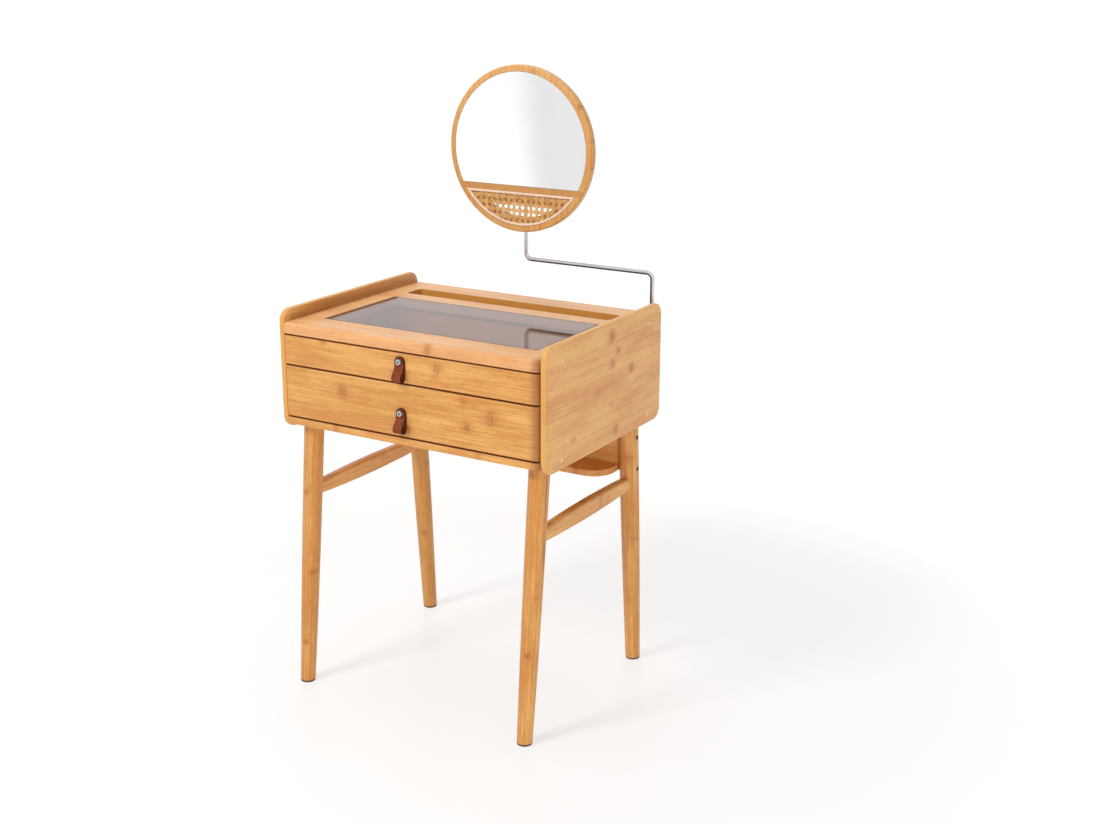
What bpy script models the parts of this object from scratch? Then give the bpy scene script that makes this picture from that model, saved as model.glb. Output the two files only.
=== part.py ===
"""Bamboo dressing table with two drawers, a glazed display window in its top
and a round mirror that swivels on a bent rod.

Metres, +Z up. The front of the table faces -Y and the user's right is +X.
X = 0 and Y = 0 are the middle of the case, and Z = 0 is the floor.
"""
import math

import bpy
import bmesh
from mathutils import Matrix, Vector

# Case
CASE_WIDTH = 0.600
CASE_DEPTH = 0.446
UNDERSIDE_HEIGHT = 0.5416       # floor to the underside of the bottom board
BOTTOM_THICK = 0.0148
LOWER_FRONT_HEIGHT = 0.1020
UPPER_FRONT_HEIGHT = 0.0576
REVEAL = 0.0024                 # shadow gap above and below each drawer front
TOP_THICK = 0.0216
PANEL_THICK = 0.0120
PANEL_LIP = 0.0236              # the side panels rise this far above the top
PANEL_SKIRT = 0.0103            # and hang this far below the bottom board
PANEL_CORNER = 0.0250
PANEL_EDGE = 0.0030
FRONT_SET_BACK = 0.0040         # fronts lie this far behind the panels' edges
FRONT_CORNER = 0.0120
TOP_NOSE = 0.0080
BOARD_EDGE = 0.0015
BACK_THICK = 0.0090
SEAT = 0.0003                   # gap between pieces that touch

# Dowels that hold the side panels to the top and bottom boards
DOWEL_RADIUS = 0.0040
DOWEL_LENGTH = 0.0300
DOWEL_FRONT_MARGIN = 0.0580     # front of the case to the front dowels
DOWEL_REAR_MARGIN = 0.0510      # rear dowels to the rear of the case

# Display window and trough in the top
GLASS_SIDE_MARGIN = 0.0590      # outside of the case to each end of the glass
GLASS_FRONT_MARGIN = 0.0665     # front of the case to the glass
GLASS_THICK = 0.0046
GLASS_CORNER = 0.0040
GLASS_EDGE = 0.0006
GLASS_CLEARANCE = 0.0008
GLASS_LEDGE = 0.0070
TROUGH_SIDE_MARGIN = 0.0594     # outside of the case to each end of the slot
TROUGH_WIDTH = 0.0493
TROUGH_REAR_MARGIN = 0.0593     # slot to the rear of the case
TROUGH_GLASS_GAP = 0.0388       # glass to slot
TROUGH_WALL = 0.0110
TROUGH_FLOOR = 0.0070
TROUGH_CORNER = 0.0030
TROUGH_DROP = 0.0590            # underside of the top to the trough's underside

# Drawers
FRONT_THICK = 0.0160
FRONT_GAP = 0.0025              # each end of a front to its side panel
DRAWER_SIDE = 0.0120
DRAWER_BACK = 0.0120
DRAWER_FLOOR = 0.0040
DRAWER_SIDE_GAP = 0.0080
BOX_LIFT = 0.0048               # a drawer box starts this far above its front's foot
BOX_DROP = 0.0070               # and ends this far below its front's top
FLOOR_LIP = 0.0040
FLOOR_GROOVE = 0.0050
UPPER_BOX_REAR_GAP = 0.0154     # upper box to the trough
LOWER_BOX_REAR_GAP = 0.0100     # lower box to the back panel
RUNNER_HEIGHT = 0.0120
RUNNER_GROOVE = 0.0065
RUNNER_FRONT_GAP = 0.0050       # drawer front to the runners
RUNNER_END_GAP = 0.0010

# Leather pulls
PULL_X = -0.0128                # the pulls stand a little left of the middle
PULL_WIDTH = 0.0206
LEATHER_THICK = 0.0022
PULL_HEIGHT = 0.0485
PULL_LOOP = 0.0070              # radius of the loop's mid line at its foot
PULL_NECK = 0.0190              # top of the pull to where its two layers part
UPPER_PULL_DROP = 0.0066        # top of the front to the top of its pull
LOWER_PULL_DROP = 0.0458
SCREW_DROP = 0.0100
SCREW_HEAD_RADIUS = 0.0068
SCREW_HEAD_HEIGHT = 0.0042
SCREW_SHANK_RADIUS = 0.0022
SCREW_BITE = 0.0110
SCREW_CLEARANCE = 0.0004
DRIVE_RADIUS = 0.0022            # hexagon recess in the screw's head
DRIVE_DEPTH = 0.0020
DRIVE_SIDES = 6
LOOP_SEAM_SHARE = 0.85          # how far up the neck the hollow of the loop reaches

# Legs
LEG_INSET = 0.0400              # leg axis to the outside of the case
FRONT_LEG_SET = 0.0459          # leg axis at its top to the front of the case
REAR_LEG_SET = 0.0584
FRONT_SPLAY = 0.0556            # how far the foot stands out past the top
REAR_SPLAY = 0.0379
LEG_TOP_RADIUS = 0.0200
LEG_FOOT_RADIUS = 0.0150
LEG_SWELL = 1.9                 # exponent of the taper: 1 is a straight cone
PAD_THICK = 0.0030
PAD_INSET = 0.0004

# Stretchers between the front and rear legs
STRETCHER_HEIGHT = 0.4000
STRETCHER_WIDTH = 0.0210
STRETCHER_MID = 0.0350
STRETCHER_END = 0.0240
STRETCHER_EDGE = 0.0060

# Rear shelf between the rear legs
SHELF_DROP = 0.1181             # underside of the case to the underside of the shelf
SHELF_THICK = 0.0135
SHELF_DEPTH = 0.0680
SHELF_CORNER = 0.0460
SHELF_EDGE = 0.0020
SHELF_BACK_THICK = 0.0130
BOLT_HIGH_DROP = 0.0426
BOLT_LOW_DROP = 0.1100
BOLT_HEAD_RADIUS = 0.0046
BOLT_HEAD_HEIGHT = 0.0045
BOLT_SHANK_RADIUS = 0.0030
BOLT_BITE = 0.0220
BOLT_SINK = 0.0015
BOLT_CLEARANCE = 0.0005
BOLT_SOCKET_RADIUS = 0.0024
BOLT_SOCKET_DEPTH = 0.0022

# Mirror rod and its two holders
ROD_RADIUS = 0.0045
ROD_BEND = 0.0125
ROD_RISE = 0.0755               # top surface to the rod's level run
ROD_REACH = 0.2928              # between the rod's two uprights
ROD_INSET = 0.0267              # lower upright to the outside of the case
ROD_BEHIND = 0.0090             # rod axis behind the case's rear edge
ROD_BORE_CLEARANCE = 0.0004
SOCKET_WIDTH = 0.0280
SOCKET_DEPTH = 0.0284
SOCKET_TALL = 0.1200
SOCKET_BELOW_TOP = 0.0080
SOCKET_FLOOR = 0.0200
SOCKET_CORNER = 0.0050
SOCKET_EDGE = 0.0010
HUB_WIDTH = 0.0440
HUB_TALL = 0.0700
HUB_DEPTH = 0.0170
HUB_CEILING = 0.0120
HUB_CORNER = 0.0080
HUB_DROP = 0.0200               # middle of the hub below the middle of the mirror

# Mirror
MIRROR_RADIUS = 0.1672
MIRROR_THICK = 0.0190
MIRROR_EDGE = 0.0040
MIRROR_RISE = 0.3017            # top surface to the middle of the mirror
MIRROR_BEHIND_GAP = 0.0023      # rod to the back of the frame
GLAZING_RADIUS = 0.1545
GLAZING_CHORD = -0.0735         # foot of the mirror glass, from the middle
GLAZING_FILLET = 0.0030
GLAZING_THICK = 0.0035
GLAZING_REBATE = 0.0042
GLAZING_CLEARANCE = 0.0004
MIRROR_RIB = 0.0120             # ledge behind the glass
BACKING_THICK = 0.0030
BACKING_REBATE = 0.0035
BACKING_CHORD = -0.0800
CANE_RADIUS = 0.1545
CANE_CHORD = -0.0870
CANE_FILLET = 0.0065
CANE_REBATE = 0.0030
CANE_THICK = 0.0016
CANE_PITCH = 0.0133
CANE_HOLE = 0.0042
CANE_COLUMN_SHIFT = 0.0080
CANE_ROW_START = -0.1037
CANE_ROWS = 4
CANE_BORDER = 0.0020
PIPING_RADIUS = 0.0022
PIPING_CLEARANCE = 0.0003
WINDOW_RADIUS = 0.1390
WINDOW_CHORD = -0.1090
WINDOW_FILLET = 0.0080

# Smoothness
ARC_STEPS = 6
FINE_STEPS = 3
LEG_SIDES = 24
LEG_RINGS = 7
DISC_SIDES = 72
SMALL_SIDES = 14
LARGE_ARC_STEPS = 36
MERGE = 0.00001
OVERRUN = 0.0100                # how far a cutter reaches past what it cuts
SHARP_ANGLE = math.radians(35)
ROUND_SHARE = 0.5               # bevel shape that gives a circular arc

# Places worked out from the sizes above
HALF_WIDTH = CASE_WIDTH / 2
HALF_DEPTH = CASE_DEPTH / 2
INNER_HALF = HALF_WIDTH - PANEL_THICK
GLASS_HALF = HALF_WIDTH - GLASS_SIDE_MARGIN
TROUGH_HALF = HALF_WIDTH - TROUGH_SIDE_MARGIN
FRONT_Y = -HALF_DEPTH + FRONT_SET_BACK
REAR_Y = HALF_DEPTH - FRONT_SET_BACK
DOWEL_FRONT_Y = -HALF_DEPTH + DOWEL_FRONT_MARGIN
DOWEL_REAR_Y = HALF_DEPTH - DOWEL_REAR_MARGIN
TROUGH_REAR_Y = HALF_DEPTH - TROUGH_REAR_MARGIN
TROUGH_FRONT_Y = TROUGH_REAR_Y - TROUGH_WIDTH
GLASS_REAR_Y = TROUGH_FRONT_Y - TROUGH_GLASS_GAP
GLASS_FRONT_Y = -HALF_DEPTH + GLASS_FRONT_MARGIN
BOTTOM_TOP = UNDERSIDE_HEIGHT + BOTTOM_THICK
LOWER_LOW = BOTTOM_TOP + REVEAL
LOWER_HIGH = LOWER_LOW + LOWER_FRONT_HEIGHT
UPPER_LOW = LOWER_HIGH + REVEAL
UPPER_HIGH = UPPER_LOW + UPPER_FRONT_HEIGHT
TOP_UNDERSIDE = UPPER_HIGH + REVEAL
TOP_SURFACE = TOP_UNDERSIDE + TOP_THICK
PANEL_TOP = TOP_SURFACE + PANEL_LIP
PANEL_BOTTOM = UNDERSIDE_HEIGHT - PANEL_SKIRT
BOX_FRONT_Y = FRONT_Y + FRONT_THICK
BACK_FRONT_Y = REAR_Y - BACK_THICK
UPPER_BOX_REAR_Y = TROUGH_FRONT_Y - TROUGH_WALL - UPPER_BOX_REAR_GAP
LOWER_BOX_REAR_Y = BACK_FRONT_Y - LOWER_BOX_REAR_GAP
RUNNER_FRONT_Y = BOX_FRONT_Y + RUNNER_FRONT_GAP
BOX_HALF = INNER_HALF - DRAWER_SIDE_GAP
BOX_INNER_HALF = BOX_HALF - DRAWER_SIDE
LEG_X = HALF_WIDTH - LEG_INSET
FRONT_LEG_Y = -HALF_DEPTH + FRONT_LEG_SET
REAR_LEG_Y = HALF_DEPTH - REAR_LEG_SET
ROD_X = HALF_WIDTH - ROD_INSET
ROD_Y = HALF_DEPTH + ROD_BEHIND
MIRROR_X = ROD_X - ROD_REACH
MIRROR_Z = TOP_SURFACE + MIRROR_RISE
MIRROR_BACK_Y = ROD_Y - ROD_RADIUS - MIRROR_BEHIND_GAP
MIRROR_FRONT_Y = MIRROR_BACK_Y - MIRROR_THICK
SOCKET_TOP = TOP_SURFACE - SOCKET_BELOW_TOP
HUB_Z = MIRROR_Z - HUB_DROP
UPRIGHT_TOP = HUB_Z + HUB_TALL / 2 - HUB_CEILING - SEAT

# An upright drawing turned to face the front, and one turned to face the left
FACING_FRONT = Matrix.Rotation(math.radians(90), 3, "X")
FACING_LEFT = Matrix(((0, 0, -1), (-1, 0, 0), (0, 1, 0)))
ALONG = {"X": Vector((1, 0, 0)), "Y": Vector((0, 1, 0)), "Z": Vector((0, 0, 1))}


def clear_scene():
    for obj in list(bpy.data.objects):
        bpy.data.objects.remove(obj, do_unlink=True)


def new_collection(name):
    made = bpy.data.collections.new(name)
    bpy.context.scene.collection.children.link(made)
    return made


def new_material(name, colour, roughness, metallic=0.0, transmission=0.0):
    made = bpy.data.materials.new(name)
    made.use_nodes = True
    shader = made.node_tree.nodes["Principled BSDF"]
    shader.inputs["Base Color"].default_value = (*colour, 1.0)
    shader.inputs["Roughness"].default_value = roughness
    shader.inputs["Metallic"].default_value = metallic
    shader.inputs["Transmission Weight"].default_value = transmission
    made.diffuse_color = (*colour, 1.0)
    return made


clear_scene()
PARTS = new_collection("dressing_table")
CUTTERS = new_collection("cutters")
BAMBOO = new_material("bamboo", (0.74, 0.40, 0.14), 0.42)
PLYWOOD = new_material("bamboo_ply", (0.66, 0.38, 0.16), 0.55)
PALE_WOOD = new_material("pale_wood", (0.86, 0.66, 0.42), 0.50)
SMOKED = new_material("smoked_glass", (0.26, 0.22, 0.20), 0.05, 0.0, 0.6)
SILVERED = new_material("mirror_glass", (0.92, 0.93, 0.94), 0.02, 1.0)
CANE = new_material("cane", (0.80, 0.56, 0.28), 0.60)
REED = new_material("reed", (0.90, 0.72, 0.58), 0.50)
LEATHER = new_material("leather", (0.30, 0.10, 0.045), 0.55)
STEEL = new_material("brushed_steel", (0.72, 0.72, 0.73), 0.25, 1.0)
DARK_STEEL = new_material("dark_steel", (0.10, 0.07, 0.05), 0.45, 1.0)
FELT = new_material("dark_felt", (0.08, 0.06, 0.05), 0.90)


def empty(name, place):
    made = bpy.data.objects.new(name, None)
    made.location = place
    PARTS.objects.link(made)
    return made


CASE = empty("case", (0, 0, 0))
UPPER_SLIDE = empty("upper_drawer_slide", (0, FRONT_Y, (UPPER_LOW + UPPER_HIGH) / 2))
LOWER_SLIDE = empty("lower_drawer_slide", (0, FRONT_Y, (LOWER_LOW + LOWER_HIGH) / 2))
ARM_AXIS = empty("mirror_arm_axis", (ROD_X, ROD_Y, SOCKET_TOP))
MIRROR_AXIS = empty("mirror_axis", (MIRROR_X, ROD_Y, MIRROR_Z))


def add_object(name, data, material, parent, place=(0, 0, 0), turn=None):
    """Put a mesh or curve in the scene, held by an empty, at a world place."""
    obj = bpy.data.objects.new(name, data)
    data.materials.append(material)
    PARTS.objects.link(obj)
    obj.parent = parent
    obj.matrix_parent_inverse = Matrix.Translation(parent.location).inverted()
    if turn is not None:
        obj.rotation_euler = turn.to_euler()
    obj.location = place
    return obj


def as_cutter(obj):
    """Keep an object out of the model and leave it to shape others."""
    obj.parent = None
    obj.matrix_parent_inverse = Matrix.Identity(4)
    PARTS.objects.unlink(obj)
    CUTTERS.objects.link(obj)
    obj.hide_render = True
    obj.display_type = "WIRE"
    return obj


def shape_with(obj, cutter, operation="DIFFERENCE"):
    cut = obj.modifiers.new(cutter.name, "BOOLEAN")
    cut.operation = operation
    cut.object = cutter


def mesh_from(bm, name):
    mesh = bpy.data.meshes.new(name)
    bm.to_mesh(mesh)
    bm.free()
    return mesh


def round_edges(obj, width, segments=2):
    bevel = obj.modifiers.new("edges", "BEVEL")
    bevel.width = width
    bevel.segments = segments
    bevel.limit_method = "ANGLE"
    bevel.angle_limit = SHARP_ANGLE


def board(name, low, high, material, parent, edge=0.0, corner=0.0, corner_axis="Z", front_only=False,
          nose=0.0):
    """A board between two opposite points.

    Its corners along corner_axis are rounded by corner, all four or the two at
    the front, its upper front edge by nose and its other edges by edge.
    """
    size = Vector(high) - Vector(low)
    bm = bmesh.new()
    bmesh.ops.create_cube(bm, size=1.0, matrix=Matrix.Diagonal((*size, 1.0)))
    if corner:
        axis = ALONG[corner_axis]
        picked = [e for e in bm.edges
                  if (e.verts[0].co - e.verts[1].co).cross(axis).length < MERGE]
        if front_only:
            picked = [e for e in picked if e.verts[0].co.y < 0]
        bmesh.ops.bevel(bm, geom=picked, offset=corner, segments=ARC_STEPS, profile=ROUND_SHARE, affect="EDGES")
    if nose:
        reach = -size.y / 2 + corner
        picked = [e for e in bm.edges if all(v.co.z > 0 for v in e.verts)
                  and (e.verts[0].co.y + e.verts[1].co.y) / 2 < reach - MERGE]
        bmesh.ops.bevel(bm, geom=picked, offset=nose, segments=FINE_STEPS, profile=ROUND_SHARE, affect="EDGES")
    obj = add_object(name, mesh_from(bm, name), material, parent, (Vector(high) + Vector(low)) / 2)
    if edge:
        round_edges(obj, edge)
    return obj


def rod(name, start, end, radius, material, parent, sides=SMALL_SIDES):
    """A plain round bar from start to end."""
    start, end = Vector(start), Vector(end)
    bm = bmesh.new()
    bmesh.ops.create_cone(bm, cap_ends=True, segments=sides, radius1=radius, radius2=radius,
                          depth=(end - start).length)
    turn = (end - start).to_track_quat("Z", "Y").to_matrix()
    return add_object(name, mesh_from(bm, name), material, parent, (start + end) / 2, turn)


def turned(name, profile, material, parent, place, turn, sides):
    """A turned piece: profile holds (radius, height) from the top down, about local Z."""
    bm = bmesh.new()
    ring = [bm.verts.new((radius, 0, height)) for radius, height in profile]
    for above, below in zip(ring, ring[1:]):
        bm.edges.new((above, below))
    obj = add_object(name, mesh_from(bm, name), material, parent, place, turn)
    spin = obj.modifiers.new("turning", "SCREW")
    spin.steps = sides
    spin.render_steps = sides
    spin.use_merge_vertices = True
    spin.merge_threshold = MERGE
    spin.use_smooth_shade = True
    return obj


def flat_piece(name, outlines, thick, material, parent, place, turn):
    """A plate of even thickness cut to flat outlines; outlines inside the first are holes."""
    curve = bpy.data.curves.new(name, "CURVE")
    curve.dimensions = "2D"
    curve.fill_mode = "BOTH"
    curve.extrude = thick / 2
    for points in outlines:
        spline = curve.splines.new("POLY")
        spline.points.add(len(points) - 1)
        for point, (across, up) in zip(spline.points, points):
            point.co = (across, up, 0, 1)
        spline.use_cyclic_u = True
    drawing = bpy.data.objects.new(name + "_outline", curve)
    PARTS.objects.link(drawing)
    solid = bpy.data.meshes.new_from_object(drawing.evaluated_get(bpy.context.evaluated_depsgraph_get()))
    bpy.data.objects.remove(drawing, do_unlink=True)
    bm = bmesh.new()
    bm.from_mesh(solid)
    bmesh.ops.remove_doubles(bm, verts=bm.verts, dist=MERGE)
    bmesh.ops.recalc_face_normals(bm, faces=bm.faces)
    return add_object(name, mesh_from(bm, name), material, parent, place, turn)


def arc(centre, radius, start, end, steps):
    """Points on an arc from one angle to another, in degrees."""
    angles = [math.radians(start + (end - start) * step / steps) for step in range(steps + 1)]
    return [(centre[0] + radius * math.cos(a), centre[1] + radius * math.sin(a)) for a in angles]


def segment(radius, chord, fillet, below=False):
    """Outline of the part of a disc above or below a chord, with rounded corners."""
    height = -chord if below else chord
    corner_height = height + fillet
    corner_reach = math.sqrt((radius - fillet) ** 2 - corner_height ** 2)
    lean = math.degrees(math.atan2(corner_height, corner_reach))
    points = arc((corner_reach, corner_height), fillet, -90, lean, ARC_STEPS)
    points += arc((0, 0), radius, lean, 180 - lean, LARGE_ARC_STEPS)[1:-1]
    points += arc((-corner_reach, corner_height), fillet, 180 - lean, 270, ARC_STEPS)
    if below:
        points = [(-across, -up) for across, up in points]
    return points


def box_cutter(name, low, high, corner=0.0, corner_axis="Z"):
    return as_cutter(board(name, low, high, BAMBOO, CASE, corner=corner, corner_axis=corner_axis))


def rod_cutter(name, start, end, radius, sides=SMALL_SIDES):
    return as_cutter(rod(name, start, end, radius, BAMBOO, CASE, sides))


def side_panels():
    """The two panels that carry the case, lipped above the top and below the bottom."""
    for side, word in ((-1, "left"), (1, "right")):
        inner, outer = side * INNER_HALF, side * HALF_WIDTH
        panel = board(word + "_side_panel",
                      (min(inner, outer), -HALF_DEPTH, PANEL_BOTTOM),
                      (max(inner, outer), HALF_DEPTH, PANEL_TOP),
                      BAMBOO, CASE, edge=PANEL_EDGE, corner=PANEL_CORNER, corner_axis="X")
        for hole in dowel_holes(side):
            shape_with(panel, hole)


def dowel_places():
    """Word, y and z of the four dowels of one side."""
    upper = TOP_UNDERSIDE + TOP_THICK / 2
    lower = UNDERSIDE_HEIGHT + BOTTOM_THICK / 2
    return [("upper_front", DOWEL_FRONT_Y, upper), ("upper_rear", DOWEL_REAR_Y, upper),
            ("lower_front", DOWEL_FRONT_Y, lower), ("lower_rear", DOWEL_REAR_Y, lower)]


DOWEL_CUTTERS = {}


def dowel_holes(side, level=""):
    """Bores for the dowels of one side, shared by the panel and the boards."""
    holes = []
    for word, y, z in dowel_places():
        if not word.startswith(level):
            continue
        if (side, word) not in DOWEL_CUTTERS:
            start = (side * (HALF_WIDTH + OVERRUN), y, z)
            end = (side * (HALF_WIDTH - DOWEL_LENGTH - SEAT), y, z)
            DOWEL_CUTTERS[(side, word)] = rod_cutter("dowel_bore_%s_%d" % (word, side), start, end,
                                                     DOWEL_RADIUS + SEAT)
        holes.append(DOWEL_CUTTERS[(side, word)])
    return holes


def dowels():
    for side, side_word in ((-1, "left"), (1, "right")):
        for word, y, z in dowel_places():
            rod("dowel_%s_%s" % (side_word, word), (side * (HALF_WIDTH - SEAT), y, z),
                (side * (HALF_WIDTH - DOWEL_LENGTH), y, z), DOWEL_RADIUS, PALE_WOOD, CASE)


def top_board():
    """The top, with the glazed window's rebate and the slot of the trough."""
    half = INNER_HALF - SEAT
    top = board("top_board", (-half, FRONT_Y, TOP_UNDERSIDE), (half, REAR_Y, TOP_SURFACE), BAMBOO, CASE,
                corner=FRONT_CORNER, front_only=True, nose=TOP_NOSE)
    glass_half = GLASS_HALF + GLASS_CLEARANCE
    front, rear = GLASS_FRONT_Y - GLASS_CLEARANCE, GLASS_REAR_Y + GLASS_CLEARANCE
    rebate = box_cutter("glass_rebate", (-glass_half, front, TOP_SURFACE - GLASS_THICK - SEAT),
                        (glass_half, rear, TOP_SURFACE + OVERRUN), GLASS_CORNER)
    ledge_half = glass_half - GLASS_LEDGE
    window = box_cutter("glass_window", (-ledge_half, front + GLASS_LEDGE, TOP_UNDERSIDE - OVERRUN),
                        (ledge_half, rear - GLASS_LEDGE, TOP_SURFACE + OVERRUN), GLASS_CORNER)
    slot = box_cutter("trough_slot", (-TROUGH_HALF, TROUGH_FRONT_Y, TOP_UNDERSIDE - OVERRUN),
                      (TROUGH_HALF, TROUGH_REAR_Y, TOP_SURFACE + OVERRUN), TROUGH_CORNER)
    for cutter in (rebate, window, slot):
        shape_with(top, cutter)
    for side in (-1, 1):
        for hole in dowel_holes(side, "upper"):
            shape_with(top, hole)


def glass_top():
    board("glass_top", (-GLASS_HALF, GLASS_FRONT_Y, TOP_SURFACE - GLASS_THICK),
          (GLASS_HALF, GLASS_REAR_Y, TOP_SURFACE), SMOKED, CASE, edge=GLASS_EDGE, corner=GLASS_CORNER)


def bottom_board():
    half = INNER_HALF - SEAT
    bottom = board("bottom_board", (-half, FRONT_Y, UNDERSIDE_HEIGHT), (half, REAR_Y, BOTTOM_TOP),
                   BAMBOO, CASE, edge=BOARD_EDGE, corner=FRONT_CORNER, front_only=True)
    for side in (-1, 1):
        for hole in dowel_holes(side, "lower"):
            shape_with(bottom, hole)


def back_panel():
    half = INNER_HALF - SEAT
    board("back_panel", (-half, BACK_FRONT_Y, BOTTOM_TOP + SEAT), (half, REAR_Y, TOP_UNDERSIDE - SEAT),
          PLYWOOD, CASE)


def trough():
    """Two walls and a floor under the slot behind the glass."""
    half = INNER_HALF - SEAT
    foot = TOP_UNDERSIDE - TROUGH_DROP
    seat = foot + TROUGH_FLOOR
    board("trough_floor", (-half, TROUGH_FRONT_Y - TROUGH_WALL, foot),
          (half, TROUGH_REAR_Y + TROUGH_WALL, seat), PLYWOOD, CASE)
    for word, near, far in (("front", TROUGH_FRONT_Y - TROUGH_WALL, TROUGH_FRONT_Y),
                            ("rear", TROUGH_REAR_Y, TROUGH_REAR_Y + TROUGH_WALL)):
        board("trough_%s_wall" % word, (-half, near, seat + SEAT), (half, far, TOP_UNDERSIDE - SEAT),
              BAMBOO, CASE)


def runner_span(low, high):
    """Lowest and highest z of a runner, at mid height of its drawer's side."""
    middle = (low + BOX_LIFT + high - BOX_DROP) / 2
    return middle - RUNNER_HEIGHT / 2, middle + RUNNER_HEIGHT / 2


def runners():
    """Wooden runners on the side panels, which the grooved drawer sides ride on."""
    upper_rear = TROUGH_FRONT_Y - TROUGH_WALL - RUNNER_END_GAP
    lower_rear = BACK_FRONT_Y - RUNNER_END_GAP
    for word, low, high, rear in (("upper", UPPER_LOW, UPPER_HIGH, upper_rear),
                                  ("lower", LOWER_LOW, LOWER_HIGH, lower_rear)):
        foot, head = runner_span(low, high)
        for side, side_word in ((-1, "left"), (1, "right")):
            outer = side * (INNER_HALF - SEAT)
            inner = side * (BOX_HALF - RUNNER_GROOVE + SEAT)
            board("%s_runner_%s" % (word, side_word), (min(outer, inner), RUNNER_FRONT_Y, foot),
                  (max(outer, inner), rear, head), BAMBOO, CASE)


def drawer(word, slide, low, high, rear):
    """A grooved box on runners behind a front: front, two sides, back and floor."""
    box_low, box_high = low + BOX_LIFT, high - BOX_DROP
    floor_low = box_low + FLOOR_LIP
    floor_high = floor_low + DRAWER_FLOOR
    front_half = INNER_HALF - FRONT_GAP
    groove_half = BOX_INNER_HALF + FLOOR_GROOVE
    groove_front = BOX_FRONT_Y - FLOOR_GROOVE
    groove = box_cutter(word + "_floor_groove", (-groove_half, groove_front, floor_low - SEAT),
                        (groove_half, rear + OVERRUN, floor_high + SEAT))
    foot, head = runner_span(low, high)

    front = board(word + "_drawer_front", (-front_half, FRONT_Y, low), (front_half, BOX_FRONT_Y, high),
                  BAMBOO, slide, edge=BOARD_EDGE, corner=FRONT_CORNER, front_only=True)
    shape_with(front, groove)
    for side, side_word in ((-1, "left"), (1, "right")):
        outer, inner = side * BOX_HALF, side * BOX_INNER_HALF
        wall = board("%s_drawer_%s_side" % (word, side_word),
                     (min(outer, inner), BOX_FRONT_Y + SEAT, box_low), (max(outer, inner), rear, box_high),
                     BAMBOO, slide)
        shape_with(wall, groove)
        deep = side * (BOX_HALF - RUNNER_GROOVE)
        past = side * (BOX_HALF + OVERRUN)
        track = box_cutter("%s_track_%s" % (word, side_word),
                           (min(deep, past), BOX_FRONT_Y - OVERRUN, foot - SEAT),
                           (max(deep, past), rear + OVERRUN, head + SEAT))
        shape_with(wall, track)
    board(word + "_drawer_back", (-BOX_INNER_HALF + SEAT, rear - DRAWER_BACK, floor_high + SEAT),
          (BOX_INNER_HALF - SEAT, rear, box_high), BAMBOO, slide)
    board(word + "_drawer_floor", (-groove_half + SEAT, groove_front + SEAT, floor_low),
          (groove_half - SEAT, rear, floor_high), PLYWOOD, slide)
    return front


def pull_profile():
    """Outer outline and hollow of the folded strap, as (forward, up) from its top back edge."""
    thick, loop = LEATHER_THICK, PULL_LOOP
    middle = (thick / 2 + loop, -PULL_HEIGHT + loop + thick / 2)
    neck = -PULL_NECK

    def front_face(share):
        """Front of the strap, share of the way from the loop's middle up to the neck."""
        ease = share * share * (3 - 2 * share)
        return thick + 2 * loop + (thick - 2 * loop) * ease, middle[1] + (neck - middle[1]) * share

    rise = [step / ARC_STEPS for step in range(1, ARC_STEPS + 1)]
    outer = [(0, 0), (0, middle[1])] + arc(middle, loop + thick / 2, 180, 360, 2 * ARC_STEPS)[1:]
    outer += [front_face(share) for share in rise] + [(2 * thick, 0)]
    hollow = arc(middle, loop - thick / 2, 180, 360, 2 * ARC_STEPS)
    hollow += [(front_face(share * LOOP_SEAM_SHARE)[0] - thick, front_face(share * LOOP_SEAM_SHARE)[1])
               for share in rise]
    hollow += [(thick, middle[1] + (neck - middle[1]) * LOOP_SEAM_SHARE)]
    return [outer, hollow]


def rounded_end(word, top):
    """Outline of the strap seen from the front, with its upper end a half circle."""
    half = PULL_WIDTH / 2
    foot = -PULL_HEIGHT - OVERRUN
    outline = arc((0, -half), half, 0, 180, 2 * ARC_STEPS) + [(-half, foot), (half, foot)]
    block = flat_piece(word + "_strap_outline", [outline], CASE_DEPTH, LEATHER, CASE, (PULL_X, FRONT_Y, top),
                       FACING_FRONT)
    return as_cutter(block)


def pull(word, slide, front, top):
    """A folded leather strap and the domed screw that holds it to a drawer front."""
    place = Vector((PULL_X, FRONT_Y - SEAT, top))
    strap = flat_piece(word + "_pull_strap", pull_profile(), PULL_WIDTH, LEATHER, slide, place, FACING_LEFT)
    screw_z = top - SCREW_DROP
    face = place.y - 2 * LEATHER_THICK - SEAT
    tip = FRONT_Y + SCREW_BITE
    bore = rod_cutter(word + "_pull_bore", (PULL_X, face - OVERRUN, screw_z), (PULL_X, tip + SEAT, screw_z),
                      SCREW_SHANK_RADIUS + SCREW_CLEARANCE)
    shape_with(strap, bore)
    shape_with(front, bore)
    shape_with(strap, rounded_end(word, top), "INTERSECT")
    angles = [math.radians(angle) for angle in range(0, 91, 15)]
    dome = [(SCREW_HEAD_RADIUS * math.sin(angle), SCREW_HEAD_HEIGHT * math.cos(angle)) for angle in angles]
    shank = tip - face
    profile = dome + [(SCREW_SHANK_RADIUS, 0), (SCREW_SHANK_RADIUS, -shank), (0, -shank)]
    centre = (PULL_X, face, screw_z)
    screw = turned(word + "_pull_screw", profile, STEEL, slide, centre, FACING_FRONT, 2 * SMALL_SIDES)
    drive = rod_cutter(word + "_screw_drive", (PULL_X, face - SCREW_HEAD_HEIGHT - OVERRUN, screw_z),
                       (PULL_X, face - SCREW_HEAD_HEIGHT + DRIVE_DEPTH, screw_z), DRIVE_RADIUS, DRIVE_SIDES)
    shape_with(screw, drive)


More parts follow.
